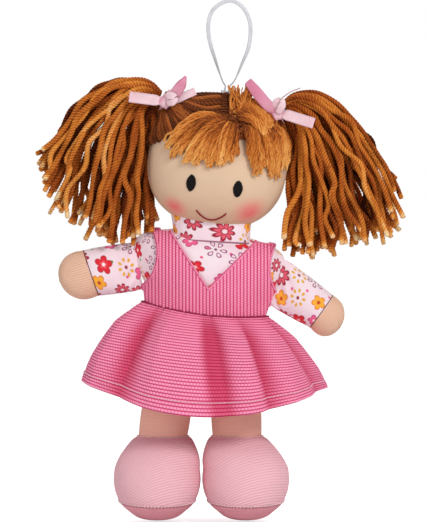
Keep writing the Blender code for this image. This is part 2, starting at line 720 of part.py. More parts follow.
def make_bow(finishes, frame, side, paths):
    """A satin ribbon bow on the front of a binding: knot, loop and two tails."""
    middle, _ = tie_place(side)
    front = TIE_RADIUS + TIE_SWELL + GAP
    centre = middle + np.array([0.0, -front - KNOT_HALF_DEPTH, 0.0])
    made = solid(f"bow_{side}", make_knot(centre, KNOT_TURNS[side]), finishes["ribbon"], frame)
    for name, shares in paths.items():
        path = [
            centre + np.array([across, -forward, up]) * BOW_LENGTH
            for across, up, forward in shares
        ]
        path = np.asarray(smooth_route(path, BOW_POINTS))
        away = np.linalg.norm(path - centre, axis=1)
        far = path[np.argmax(away)] - centre
        width_way = np.array([-far[2], 0.0, far[0]]) / np.linalg.norm(far)
        widths = RIBBON_WIDTH * np.minimum(1.0, PINCH_SHARE + (1.0 - PINCH_SHARE) * away / PINCH_LENGTH)
        boolean(made, cutter(f"join_bow_{side}_{name}", strip(path, width_way, widths, RIBBON_THICKNESS)), "UNION")


def smooth_route(route, count):
    """Evenly spaced places on a smooth curve through a route's own points."""
    route = np.asarray(route)
    padded = np.vstack([2.0 * route[0] - route[1], route, 2.0 * route[-1] - route[-2]])
    fine = []
    for one, two, three, four in zip(padded, padded[1:], padded[2:], padded[3:]):
        for share in np.linspace(0.0, 1.0, RING_STEPS, endpoint=False):
            fine.append(0.5 * (
                2.0 * two + (three - one) * share
                + (2.0 * one - 5.0 * two + 4.0 * three - four) * share ** 2
                + (3.0 * two - one - 3.0 * three + four) * share ** 3
            ))
    fine = np.vstack([fine, route[-1:]])
    length = np.concatenate([[0.0], np.cumsum(np.linalg.norm(np.diff(fine, axis=0), axis=1))])
    places = np.linspace(0.0, length[-1], count)
    return np.column_stack([np.interp(places, length, fine[:, axis]) for axis in range(3)])


def make_hanging_loop(finishes, frame):
    """The ribbon loop, and the stitching on the crown that holds both its ends."""
    crown = HEAD_HALF_HEIGHT + GAP + CAP_THICKNESS + PARTING_RIDGE + GAP
    low = (-LOOP_STITCH_HALF_LENGTH, -LOOP_STITCH_HALF_WIDTH, crown)
    high = (LOOP_STITCH_HALF_LENGTH, LOOP_STITCH_HALF_WIDTH, crown + LOOP_STITCH_HEIGHT)
    solid("loop_stitch", head_box(low, high), finishes["white"], frame)
    seat = crown + LOOP_STITCH_HEIGHT + GAP
    half = LOOP_ENDS_APART / 2.0
    ends = from_head([(-half, 0.0, seat), (half, 0.0, seat)])
    stems = from_head([(-half, 0.0, seat + 2.0 * LOOP_RADIUS), (half, 0.0, seat + 2.0 * LOOP_RADIUS)])
    route = [ends[0], stems[0], *LOOP_ROUTE, stems[1], ends[1]]
    tube("hang_loop", smooth_route(route, LOOP_POINTS), LOOP_RADIUS, finishes["white"], frame)


# Neck, torso and arms

NECK_PIVOT = np.array([NECK_X, 0.0, NECK_SEAM_Z])


def neck_shape():
    """The neck band: upright sides over a bottom that is round about the nodding axis."""
    rings = []
    turn = angles(NECK_STEPS)
    outline = [(NECK_HALF_DEPTH * math.cos(t), NECK_HALF_DEPTH * math.sin(t))
               for t in np.linspace(math.pi, FULL_TURN, NECK_STEPS // 2 + 1)]
    outline += [(NECK_HALF_DEPTH, NECK_HEIGHT), (-NECK_HALF_DEPTH, NECK_HEIGHT)]
    outline = np.array(outline)
    for across_share, share in NECK_END_SHARES:
        across = across_share * NECK_HALF_WIDTH
        ring = np.zeros((len(outline), 3))
        ring[:, 0] = across
        ring[:, 1] = outline[:, 0] * share
        ring[:, 2] = np.where(outline[:, 1] < 0.0, outline[:, 1] * share, outline[:, 1])
        rings.append(NECK_PIVOT + ring)
    return loft(rings)


def head_under(x, y, degrees, growth):
    """Heights of the underside of the grown head, turned on the neck, over level places."""
    turn = math.radians(-degrees)
    away = x - NECK_X
    across = NECK_X + away * math.cos(turn) - y * math.sin(turn)
    depth = away * math.sin(turn) + y * math.cos(turn)
    low = np.full(x.shape, NECK_SEAM_Z)
    high = np.full(x.shape, HEAD_Z)
    for _ in range(BISECTIONS):
        middle = (low + high) / 2.0
        places = np.stack([across - HEAD_X, depth, middle - HEAD_Z], axis=-1) @ HEAD_TURN
        reach = np.linalg.norm(places, axis=-1)
        way = (places / reach[..., None]).reshape(-1, 3)
        inside = reach < head_reach(way, growth).reshape(x.shape)
        high = np.where(inside, middle, high)
        low = np.where(inside, low, middle)
    return low


def neck_dish():
    """The space that the underside of the head sweeps as it turns on the neck."""
    wide = NECK_HALF_WIDTH + NECK_CORNER
    deep = NECK_HALF_DEPTH + NECK_CORNER
    x, y = np.meshgrid(
        NECK_X + np.linspace(-wide, wide, NECK_STEPS), np.linspace(-deep, deep, NECK_STEPS // 2)
    )
    floor = np.min([head_under(x, y, degrees, CUT_GAP) for degrees in NECK_TURNS], axis=0)
    rows, columns = x.shape
    under = np.stack([x, y, floor], axis=-1).reshape(-1, 3)
    over = np.stack([x, y, np.full(x.shape, HEAD_Z)], axis=-1).reshape(-1, 3)
    faces = []
    half = rows * columns
    for row in range(rows - 1):
        for column in range(columns - 1):
            here = row * columns + column
            faces.append((here, here + 1, here + columns + 1, here + columns))
            faces.append(tuple(half + corner for corner in reversed(faces[-1])))
    rim = [column for column in range(columns)]
    rim += [row * columns + columns - 1 for row in range(1, rows)]
    rim += [(rows - 1) * columns + column for column in range(columns - 2, -1, -1)]
    rim += [row * columns for row in range(rows - 2, 0, -1)]
    for here, beside in zip(rim, rim[1:] + rim[:1]):
        faces.append((beside, here, here + half, beside + half))
    return outward((np.vstack([under, over]), faces))


def neck_trough():
    """The space that the bottom of the neck sweeps as it nods."""
    radius = NECK_HALF_DEPTH + CUT_GAP
    nod = NECK_NOD
    outline = [
        (radius * math.cos(turn), radius * math.sin(turn))
        for turn in np.linspace(math.pi + nod, FULL_TURN - nod, NECK_STEPS // 2 + 1)
    ]
    flare = NECK_HEIGHT * math.tan(nod)
    outline += [(radius + flare, NECK_HEIGHT), (-radius - flare, NECK_HEIGHT)]
    half = NECK_HALF_WIDTH + CUT_GAP
    rings = []
    for across in (-half, half):
        rings.append(np.array([NECK_PIVOT + np.array([across, y, z]) for y, z in outline]))
    return loft(rings)


def make_neck(finishes):
    """The neck, its top dished by the head as it turns."""
    hinge = empty("hinge_head_turn", NECK_PIVOT, UP)
    made = solid("neck", neck_shape(), finishes["print"], hinge)
    boolean(made, cutter("cut_neck_dish", neck_dish()), "DIFFERENCE")


def torso_shape():
    """The stuffed body: level lens sections that lean, with a slope that grows to the shoulders."""
    rings = []
    for height, slope, wide, deep in TORSO_SHARES:
        rise = height * TORSO_HEIGHT
        centre = (HIP_X + TORSO_LEAN_SHARE * rise, 0.0, HIP_Z + rise)
        ring = level_ring(
            centre, wide * TORSO_HALF_WIDTH, deep * TORSO_HALF_DEPTH, RING_STEPS, TORSO_PILLOW_POWER
        )
        ring[:, 2] -= slope * TORSO_SLOPE * (ring[:, 0] - centre[0])
        rings.append(ring)
    return loft(rings)


def rod(start, end, radius, steps):
    """A straight round rod."""
    start = np.asarray(start)
    end = np.asarray(end)
    along = (end - start) / np.linalg.norm(end - start)
    beside = np.cross(along, np.array([0.0, 1.0, 0.0]))
    turn = angles(steps)
    around = np.outer(np.cos(turn), beside) + np.outer(np.sin(turn), np.array([0.0, 1.0, 0.0]))
    return loft([start + around * radius, end + around * radius])


def arm_frame(side):
    """Shoulder and wrist seams of an arm as (middle, half of the seam) pairs, and the hand's tip."""
    ends = []
    for top, bottom in ((SHOULDER_TOP, SHOULDER_BOTTOM), (WRIST_TOP, WRIST_BOTTOM)):
        high = np.array([top[side][0], 0.0, top[side][1]])
        low = np.array([bottom[side][0], 0.0, bottom[side][1]])
        ends.append(((high + low) / 2.0, (high - low) / 2.0))
    return ends[0], ends[1], np.array([HAND_TIP[side][0], 0.0, HAND_TIP[side][1]])


def arm_ring(middle, half, thick):
    """One section of an arm, upright along its seam."""
    turn = angles(ARM_STEPS)
    return middle + np.outer(np.cos(turn), half) + np.outer(np.sin(turn), np.array([0.0, thick, 0.0]))


def make_arm(finishes, side):
    """Sleeve and hand, hinged on the shoulder seam."""
    shoulder, wrist, tip = arm_frame(side)
    seam_way = Vector(shoulder[1] if side == "left" else -shoulder[1]).normalized()
    hinge = empty(f"hinge_arm_{side}", shoulder[0], seam_way)
    rings = []
    for along, tall, thick in SLEEVE_SHARES:
        middle = shoulder[0] + (wrist[0] - shoulder[0]) * along
        half = shoulder[1] + (wrist[1] - shoulder[1]) * along
        rings.append(arm_ring(middle, half * tall, thick * ARM_HALF_THICKNESS))
    solid(f"sleeve_{side}", loft(rings), finishes["print"], hinge)
    out = tip - wrist[0]
    start = wrist[0] + out / np.linalg.norm(out) * GAP
    rings = []
    for along, tall, thick in HAND_SHARES:
        middle = start + (tip - start) * along
        rings.append(arm_ring(middle, wrist[1] * tall, thick * ARM_HALF_THICKNESS))
    solid(f"hand_{side}", loft(rings, pole_end=tip), finishes["peach"], hinge)


def shoulder_groove(side, radius):
    """A round seat about an arm's seam in the side of the torso."""
    shoulder, _, _ = arm_frame(side)
    reach = shoulder[1] * SHOULDER_REACH_SHARE
    return rod(shoulder[0] - reach, shoulder[0] + reach, radius, TIE_STEPS)


def make_torso(finishes, shape, trough):
    """The body, cut by the neck, the shoulder seams and the hip seam."""
    hinge = empty("hinge_neck_nod", NECK_PIVOT, ACROSS)
    made = solid("torso", shape, finishes["print"], hinge)
    boolean(made, trough, "DIFFERENCE")
    for side in ("left", "right"):
        groove = shoulder_groove(side, SEAM_RADIUS + CUT_GAP)
        boolean(made, cutter(f"cut_shoulder_{side}", groove), "DIFFERENCE")
    boolean(made, cutter("cut_torso_hips", hip_groove()), "DIFFERENCE")
    return hinge


# Hips, legs and feet

def hip_groove():
    """The round seat about the hip seam, past both sides of the body."""
    reach = HIP_SEAM_HALF_LENGTH + LEG_HALF_WIDTH
    start = (HIP_X - reach, 0.0, HIP_Z)
    end = (HIP_X + reach, 0.0, HIP_Z)
    return rod(start, end, HIP_SEAM_RADIUS + CUT_GAP, TIE_STEPS)


def make_hips(finishes):
    """The sewn strip on which the doll folds, shared by both legs."""
    hinge = empty("hinge_sit_fold", (HIP_X, 0.0, HIP_Z), ACROSS)
    start = (HIP_X - HIP_SEAM_HALF_LENGTH, 0.0, HIP_Z)
    end = (HIP_X + HIP_SEAM_HALF_LENGTH, 0.0, HIP_Z)
    solid("hip_seam", rod(start, end, HIP_SEAM_RADIUS, TIE_STEPS), finishes["print"], hinge)


def make_leg(finishes, side):
    """A leg, its foot and its sole, swinging on the hip seam."""
    hinge = empty(f"hinge_leg_{side}", (LEG_TOP_X[side], 0.0, HIP_Z), ACROSS)
    top = np.array([LEG_TOP_X[side], 0.0, HIP_Z])
    ankle = np.array([ANKLE_X[side], 0.0, ANKLE_Z])
    rings = []
    for along, wide, deep in LEG_SHARES:
        middle = top + (ankle - top) * along
        rings.append(level_ring(middle, wide * LEG_HALF_WIDTH, deep * LEG_HALF_DEPTH, LEG_STEPS))
    leg = solid(f"leg_{side}", loft(rings), finishes["peach"], hinge)
    boolean(leg, cutter(f"cut_leg_{side}", hip_groove()), "DIFFERENCE")
    for name, shares, finish, above, height in (
        ("foot", FOOT_SHARES, "pink_knit", ANKLE_Z - GAP, FOOT_HEIGHT),
        ("sole", SOLE_SHARES, "sole", ANKLE_Z - GAP - FOOT_HEIGHT - GAP, SOLE_HEIGHT),
    ):
        rings = []
        for down, wide, heel, long in shares:
            back = heel * FOOT_HEEL_BACK
            front = back - long * FOOT_LENGTH
            slide = 1.0 if name == "sole" else min(1.0, down / FOOT_BEND_SHARE)
            across = ANKLE_X[side] + (FOOT_X[side] - ANKLE_X[side]) * slide
            middle = (across, (back + front) / 2.0, above - down * height)
            rings.append(level_ring(
                middle, wide * FOOT_HALF_WIDTH, (back - front) / 2.0, FOOT_STEPS, FOOT_CORNER_POWER
            ))
        solid(f"{name}_{side}", loft(rings), finishes[finish], hinge)


# Dress

def below_waist():
    """A slab below the sloping waist seam."""
    left = WAIST_X - OVERRUN
    right = WAIST_X + OVERRUN
    rise = WAIST_SLOPE * OVERRUN
    outline = [
        (left, WAIST_Z + rise), (left, WAIST_Z - OVERRUN),
        (right, WAIST_Z - OVERRUN), (right, WAIST_Z - rise),
    ]
    return prism(outline, OVERRUN, -OVERRUN)


def make_bodice(finishes, hinge, torso, trough):
    """The pinafore's top: a shell over the torso with a V neck, straps and armholes."""
    made = solid("dress_bodice", grown(torso, CUT_GAP + DRESS_THICKNESS), finishes["dress"], hinge)
    boolean(made, cutter("cut_bodice_inside", grown(torso, CUT_GAP)), "DIFFERENCE")
    boolean(made, cutter("cut_bodice_waist", below_waist()), "DIFFERENCE")
    turn = angles(ARMHOLE_STEPS)
    for side in ("left", "right"):
        x, z = ARMHOLE_CENTRE[side]
        hole = np.column_stack([
            x + ARMHOLE_HALF_WIDTH * np.cos(turn), z + ARMHOLE_HALF_HEIGHT * np.sin(turn)
        ])
        shape = prism([tuple(place) for place in hole], OVERRUN, -OVERRUN)
        boolean(made, cutter(f"cut_armhole_{side}", shape), "DIFFERENCE")
        clear = shoulder_groove(side, SEAM_RADIUS + SHOULDER_CLEARANCE)
        boolean(made, cutter(f"cut_bodice_shoulder_{side}", clear), "DIFFERENCE")
    boolean(made, cutter("cut_neckline_front", prism(NECKLINE_FRONT, 0.0, -OVERRUN)), "DIFFERENCE")
    boolean(made, cutter("cut_neckline_back", prism(NECKLINE_BACK, OVERRUN, -GAP)), "DIFFERENCE")
    boolean(made, trough, "DIFFERENCE")


def waist_half_sizes():
    """Half the width and depth of the dress where its bodice ends."""
    heights, _, wide, deep = np.transpose(TORSO_SHARES)
    share = (WAIST_Z - HIP_Z) / TORSO_HEIGHT
    cloth = CUT_GAP + DRESS_THICKNESS
    half_width = np.interp(share, heights, wide) * TORSO_HALF_WIDTH + cloth
    half_depth = np.interp(share, heights, deep) * TORSO_HALF_DEPTH + cloth
    return half_width, half_depth


def skirt_ring(along, flare, inset, lift=0.0):
    """One ring of the skirt; folds and the front's extra length grow towards the hem."""
    turn = angles(SKIRT_STEPS)
    waist_width, waist_depth = waist_half_sizes()
    half_width = waist_width + (HEM_HALF_WIDTH - waist_width) * flare - inset
    half_depth = waist_depth + (HEM_HALF_DEPTH - waist_depth) * flare - inset
    fold = FOLD_TOP + (FOLD_HEM - FOLD_TOP) * along
    wave = fold * np.cos(FOLD_COUNT * (turn + math.pi / 2.0 - FOLD_TURN) + math.pi)
    power = TORSO_PILLOW_POWER + (1.0 - TORSO_PILLOW_POWER) * min(1.0, along / SKIRT_ROUND_SHARE)
    across = (half_width + wave) * np.cos(turn)
    depth = (half_depth + wave) * np.sign(np.sin(turn)) * np.abs(np.sin(turn)) ** power
    centre = WAIST_X + (HEM_X - WAIST_X) * along
    slope = WAIST_SLOPE + (HEM_SLOPE - WAIST_SLOPE) * along
    drop = SKIRT_LENGTH * along + HEM_FRONT_DROP * along ** 2 * np.sin(turn) ** 2
    return np.column_stack([centre + across, depth, WAIST_Z - GAP - drop - slope * across + lift])


def make_skirt(finishes, hinge):
    """The gathered skirt: one folded wall, open below, with a thicker turned hem."""
    hem_along = 1.0 - HEM_FOLD_HEIGHT / SKIRT_LENGTH
    outer = []
    inner = []
    for along, flare in SKIRT_SHARES[:-1]:
        outer.append(skirt_ring(along, flare, 0.0))
        inner.append(skirt_ring(along, flare, SKIRT_WALL))
    last = SKIRT_SHARES[-2]
    hem_flare = last[1] + (1.0 - last[1]) * (hem_along - last[0]) / (1.0 - last[0])
    outer.append(skirt_ring(hem_along, hem_flare, 0.0))
    outer.append(skirt_ring(hem_along, hem_flare, -HEM_FOLD_EXTRA, -GAP))
    outer.append(skirt_ring(1.0, 1.0, -HEM_FOLD_EXTRA))
    inner.append(skirt_ring(1.0, 1.0, SKIRT_WALL))
    rings = outer + inner[::-1]
    count = SKIRT_STEPS
    faces = []
    for ring in range(len(rings)):
        following = (ring + 1) % len(rings)
        for step in range(count):
            beside = (step + 1) % count
            faces.append((
                ring * count + step, ring * count + beside,
                following * count + beside, following * count + step,
            ))
    solid("dress_skirt", outward((np.vstack(rings), faces)), finishes["dress"], hinge)


def main():
    """Build every piece in its place."""
    remove_old_objects()
    finishes = {
        "skin": material("cream_cotton", (0.80, 0.62, 0.46), 0.85),
        "black": material("black_thread", (0.01, 0.01, 0.012), 0.5),
        "crimson": material("crimson_thread", (0.35, 0.02, 0.03), 0.6),
        "yarn": material("brown_yarn", (0.48, 0.20, 0.05), 0.9),
        "fringe": material("orange_yarn", (0.68, 0.26, 0.04), 0.9),
        "thread": material("brown_thread", (0.25, 0.09, 0.02), 0.9),
        "tie": material("gathered_yarn", (0.42, 0.17, 0.04), 0.9),
        "ribbon": material("pink_satin", (0.85, 0.45, 0.58), 0.35),
        "white": material("white_ribbon", (0.85, 0.85, 0.86), 0.5),
        "print": material("printed_cotton", (0.88, 0.78, 0.84), 0.85),
        "peach": material("peach_knit", (0.80, 0.46, 0.30), 0.9),
        "dress": material("pink_rib_knit", (0.85, 0.12, 0.32), 0.9),
        "pink_knit": material("light_pink_knit", (0.85, 0.38, 0.47), 0.9),
        "sole": material("sole_knit", (0.70, 0.26, 0.34), 0.9),
    }
    frame = bpy.data.objects.new("head_frame", None)
    bpy.context.scene.collection.objects.link(frame)
    frame.location = HEAD_MIDDLE
    frame.rotation_euler = (0.0, HEAD_ROLL, 0.0)
    bpy.context.view_layer.update()
    solid("head", head_shape(), finishes["skin"], frame)
    make_face(finishes, frame)
    fringe_guides = make_fringe(finishes, frame)
    make_hair_cap(finishes, frame, fringe_guides)
    skull = cutter("cut_by_cap", head_shape(GAP + CAP_THICKNESS + CUT_GAP))
    for side, shares in (("left", BUNCH_LEFT_SHARES), ("right", BUNCH_RIGHT_SHARES)):
        make_tie(finishes, frame, side, skull)
        make_bunch(finishes, side, shares, skull)
    make_bow(finishes, frame, "left", BOW_LEFT_SHARES)
    make_bow(finishes, frame, "right", BOW_RIGHT_SHARES)
    make_hanging_loop(finishes, frame)
    make_neck(finishes)
    torso = torso_shape()
    trough = cutter("cut_neck_trough", neck_trough())
    torso_hinge = make_torso(finishes, torso, trough)
    make_bodice(finishes, torso_hinge, torso, trough)
    make_skirt(finishes, torso_hinge)
    make_hips(finishes)
    for side in ("left", "right"):
        make_arm(finishes, side)
        make_leg(finishes, side)


main()
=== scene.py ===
"""The looks of a cloth rag doll that hangs from its ribbon loop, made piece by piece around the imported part.

The doll faces -Y. Lengths are in metres, in the part's own frame, and colours are given as they look.
"""

import math

import bmesh
import bpy
import numpy as np
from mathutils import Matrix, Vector


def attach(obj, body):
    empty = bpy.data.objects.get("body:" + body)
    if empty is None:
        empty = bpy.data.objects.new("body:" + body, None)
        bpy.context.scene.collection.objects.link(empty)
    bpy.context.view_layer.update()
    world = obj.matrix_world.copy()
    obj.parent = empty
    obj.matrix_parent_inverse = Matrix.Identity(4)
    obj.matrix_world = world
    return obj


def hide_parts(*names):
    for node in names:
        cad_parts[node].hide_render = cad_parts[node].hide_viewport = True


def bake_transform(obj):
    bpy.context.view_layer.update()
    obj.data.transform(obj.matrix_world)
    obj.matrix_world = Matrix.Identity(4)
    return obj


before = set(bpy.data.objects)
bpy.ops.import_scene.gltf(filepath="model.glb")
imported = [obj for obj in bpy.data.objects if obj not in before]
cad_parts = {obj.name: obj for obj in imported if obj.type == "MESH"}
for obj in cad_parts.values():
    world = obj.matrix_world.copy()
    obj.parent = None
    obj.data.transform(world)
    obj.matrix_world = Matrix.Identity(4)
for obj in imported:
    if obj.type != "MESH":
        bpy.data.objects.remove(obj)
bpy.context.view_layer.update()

# Studio: a camera level with the doll's middle, on a long lens, with a large soft lamp above it on
# each side and a pale floor just below its soles.
VIEW_MIDDLE = Vector((-0.00986, 0.0, -0.1500))
VIEW_DISTANCE = 3.0
VIEW_ELEVATION = math.radians(1.5)
VIEW_HEIGHT = 0.3030
FLOOR_Z = -0.3012
SENSOR = 36.0
WHITE = (1.0, 1.0, 1.0, 1.0)
ROOM_LIGHT = 0.42
FLOOR_GLOW = 0.68
# name, place from the doll's middle, size and power
LAMPS = (
    ("lamp_key", (0.62, -1.0, 0.72), 0.45, 9.4),
    ("lamp_fill", (-0.85, -0.90, 0.20), 0.70, 2.6),
    ("lamp_top", (-0.05, 0.25, 1.10), 0.60, 4.0),
)


def dye(red, green, blue):
    """A colour as it looks, from 0 to 255 a channel, made linear for a shader."""
    shown = np.array([red, green, blue]) / 255.0
    linear = np.where(shown <= 0.04045, shown / 12.92, ((shown + 0.055) / 1.055) ** 2.4)
    return (*linear.tolist(), 1.0)


def node(tree, kind, settings=None, **inputs):
    """One shader node. An input is a value or a socket, and is named with _ for a space or iN for its number."""
    made = tree.nodes.new("ShaderNode" + kind)
    for name, value in (settings or {}).items():
        setattr(made, name, value)
    for name, value in inputs.items():
        numbered = name[0] == "i" and name[1:].isdigit()
        place = made.inputs[int(name[1:]) if numbered else name.replace("_", " ")]
        if isinstance(value, bpy.types.NodeSocket):
            tree.links.new(value, place)
        else:
            place.default_value = value
    return made


def maths(tree):
    """The arithmetic of one shader tree: do(operation, values or sockets) gives the result's socket."""
    def do(operation, *values):
        inputs = {f"i{number}": value for number, value in enumerate(values)}
        return node(tree, "Math", {"operation": operation}, **inputs).outputs[0]
    return do


def seen_white(tree):
    """One for rays from the camera, in gloss and through glass, and nothing for all other light."""
    do, rays = maths(tree), node(tree, "LightPath").outputs
    direct = do("MAXIMUM", rays["Is Camera Ray"], rays["Is Glossy Ray"])
    return do("MAXIMUM", direct, rays["Is Transmission Ray"])


def finish_of(name, colour, roughness, sheen=0.0, sheen_colour=None, **plain):
    """A new material with its plain values on the shader's own sockets, named with _ for a space."""
    made = bpy.data.materials.new(name)
    made.use_nodes = True
    shader = made.node_tree.nodes["Principled BSDF"]
    values = {"Base_Color": colour, "Roughness": roughness, "Sheen_Weight": sheen, "Sheen_Roughness": 0.5,
              "Sheen_Tint": sheen_colour or colour, "Specular_IOR_Level": 0.25, **plain}
    for socket, value in values.items():
        shader.inputs[socket.replace("_", " ")].default_value = value
    return made, made.node_tree, shader


def new_object(name, data):
    """An object of some data, put into the scene."""
    made = bpy.data.objects.new(name, data)
    bpy.context.scene.collection.objects.link(made)
    return made


def aim(thing, backwards):
    """Turns a camera or a lamp to look against a direction."""
    thing.rotation_mode = "QUATERNION"
    thing.rotation_quaternion = (-backwards).to_track_quat("-Z", "Y")


camera = new_object("camera", bpy.data.cameras.new("camera"))
camera.data.sensor_width = SENSOR
camera.data.lens = SENSOR * VIEW_DISTANCE / VIEW_HEIGHT
camera.data.clip_end = 50.0
backwards = Vector((0.0, -math.cos(VIEW_ELEVATION), math.sin(VIEW_ELEVATION)))
camera.location = VIEW_MIDDLE + backwards * VIEW_DISTANCE
aim(camera, backwards)
bpy.context.scene.camera = camera
bpy.context.scene.view_settings.view_transform = "Standard"

world = bpy.data.worlds.new("studio")
bpy.context.scene.world = world
world.use_nodes = True
air = world.node_tree
room = node(air, "Background", Color=WHITE, Strength=ROOM_LIGHT)
white = node(air, "Background", Color=WHITE, Strength=1.0)
mixed = node(air, "MixShader", i0=seen_white(air), i1=room.outputs[0], i2=white.outputs[0])
air.links.new(mixed.outputs[0], air.nodes["World Output"].inputs["Surface"])
for name, place, size, power in LAMPS:
    lamp = new_object(name, bpy.data.lights.new(name, "AREA"))
    lamp.data.size = size
    lamp.data.energy = power
    lamp.location = VIEW_MIDDLE + Vector(place)
    aim(lamp, Vector(place))

floor_mesh = bpy.data.meshes.new("floor")
floor_mesh.from_pydata([(x, y, FLOOR_Z) for x, y in ((-6, -6), (6, -6), (6, 6), (-6, 6))], [], [(0, 1, 2, 3)])
floor = new_object("floor", floor_mesh)
paper, paper_tree, paper_shader = finish_of("white_paper", (0.80, 0.80, 0.80, 1.0), 0.9, Emission_Color=WHITE,
                                            Specular_IOR_Level=0.5)
glow = maths(paper_tree)("MULTIPLY", seen_white(paper_tree), FLOOR_GLOW)
paper_tree.links.new(glow, paper_shader.inputs["Emission Strength"])
floor_mesh.materials.append(paper)


# Hanging loop: a narrow white satin ribbon. It leaves the crown under a few tacking stitches, stands
# up in a loop, and goes back under the same stitches.
LOOP_ROUTE = (
    (-0.00305, 0.0, -0.0502), (-0.00279, 0.0, -0.0482), (-0.0046, 0.0, -0.0450), (-0.0085, 0.0, -0.0335),
    (-0.0122, 0.0, -0.0205), (-0.0122, 0.0, -0.0100), (-0.0085, 0.0, -0.0030), (0.0, 0.0, 0.0010),
    (0.0076, 0.0, -0.0032), (0.0117, 0.0, -0.0125), (0.0110, 0.0, -0.0250), (0.0074, 0.0, -0.0345),
    (0.0028, 0.0, -0.0450), (-0.00021, 0.0, -0.0486), (-0.00047, 0.0, -0.0505),
)
LOOP_WIDTH = 0.0022
LOOP_THICKNESS = 0.00050
TAU = 2.0 * math.pi
BACK = np.array([0.0, 1.0, 0.0])
UP = np.array([0.0, 0.0, 1.0])
SIDES = ("left", "right")


def spline(knots, places):
    """A smooth curve through knots: a cubic of four neighbouring knots at each place, counted from 0."""
    knots = np.asarray(knots, dtype=float)
    padded = np.concatenate([2 * knots[:1] - knots[1:2], knots, 2 * knots[-1:] - knots[-2:-1]])
    first = np.clip(np.asarray(places).astype(int), 0, len(knots) - 2)
    share = (np.asarray(places) - first).reshape(-1, *([1] * (knots.ndim - 1)))
    a, b, c, d = (padded[first + step] for step in range(4))
    return 0.5 * (2 * b + (c - a) * share + (2 * a - 5 * b + 4 * c - d) * share ** 2
                  + (3 * b - a - 3 * c + d) * share ** 3)


def travel(path):
    """Length travelled along a line of places, from nothing at its first."""
    steps = np.linalg.norm(np.diff(path, axis=-2), axis=-1)
    return np.concatenate([np.zeros(steps.shape[:-1] + (1,)), np.cumsum(steps, axis=-1)], axis=-1)


def even(path, count):
    """The same line, cut into evenly long steps: each axis is read off against the length travelled."""
    path = np.asarray(path, dtype=float)
    travelled = travel(path)
    places = np.linspace(0.0, travelled[-1], count)
    return np.stack([np.interp(places, travelled, path[:, axis]) for axis in range(path.shape[1])], axis=1)


def route(knots, count):
    """Evenly spaced places on the smooth curve through knots."""
    return even(spline(knots, np.linspace(0, len(knots) - 1, 16 * len(knots))), count)


def unit(vectors):
    """Vectors of length one."""
    return vectors / np.maximum(np.linalg.norm(vectors, axis=-1, keepdims=True), 1e-12)


def layers(*axes):
    """Values that are spread over one grid and laid on each other as its last axis."""
    return np.stack(np.broadcast_arrays(*axes), axis=-1)


def squared(wave, power):
    """A wave made squarer or narrower: its size to a power, with its sign kept."""
    return np.sign(wave) * np.abs(wave) ** power


def ends_twice(values, axis=0):
    """The same values with the first and the last said twice, for the rows that close both ends."""
    return np.pad(values, [(1, 1) if number == axis else (0, 0) for number in range(np.ndim(values))], "edge")


def sheets_to_mesh(name, grids, charts, finish, tones=None, weld=1e-7):
    """One mesh of several grids of points, each (rows, columns, 3), with a flat chart in metres for each.

    Points that meet at seams and poles are welded, so closed forms have no gap.
    """
    points, quads, chart_corners, tone_values, start = [], [], [], [], 0
    for number, (grid, chart) in enumerate(zip(grids, charts)):
        rows, columns = grid.shape[:2]
        here = (np.arange(rows - 1)[:, None] * columns + np.arange(columns - 1)).reshape(-1) + start
        quad = np.stack([here, here + 1, here + columns + 1, here + columns], axis=1)
        points.append(grid.reshape(-1, 3))
        quads.append(quad)
        chart_corners.append(chart.reshape(-1, 2)[quad.reshape(-1) - start])
        if tones is not None:
            tone = np.asarray(tones[number], dtype=float)
            tone = tone if tone.ndim == 2 else tone.reshape(-1, 1)
            tone_values.append(np.broadcast_to(tone, (rows, columns)).reshape(-1))
        start += rows * columns
    quads = np.concatenate(quads)
    mesh = bpy.data.meshes.new(name)
    mesh.vertices.add(start)
    mesh.vertices.foreach_set("co", np.concatenate(points).astype(np.float32).reshape(-1))
    mesh.loops.add(quads.size)
    mesh.loops.foreach_set("vertex_index", quads.astype(np.int32).reshape(-1))
    mesh.polygons.add(len(quads))
    mesh.polygons.foreach_set("loop_start", np.arange(0, quads.size, 4, dtype=np.int32))
    mesh.update(calc_edges=True)
    flat = np.concatenate(chart_corners).astype(np.float32).reshape(-1)
    mesh.uv_layers.new(name="cloth").data.foreach_set("uv", flat)
    if tones is not None:
        values = np.concatenate(tone_values).astype(np.float32)
        mesh.attributes.new("tone", "FLOAT", "POINT").data.foreach_set("value", values)
    work = bmesh.new()
    work.from_mesh(mesh)
    bmesh.ops.remove_doubles(work, verts=work.verts, dist=weld)
    bmesh.ops.recalc_face_normals(work, faces=work.faces)
    work.to_mesh(mesh)
    work.free()
    mesh.shade_smooth()
    mesh.materials.append(finish)
    return new_object(name, mesh)


def piece(name, grids, charts, finish, body, slot, *nodes, tones=None, fill=None, weld=1e-7):
    """A mesh that rides on a body, in the finish given. It stands for the nodes named, which it hides. The slot and
    fill are not used.
    """
    made = sheets_to_mesh(name, grids, charts, finish, tones, weld)
    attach(made, body)
    if nodes:
        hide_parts(*nodes)
    return made


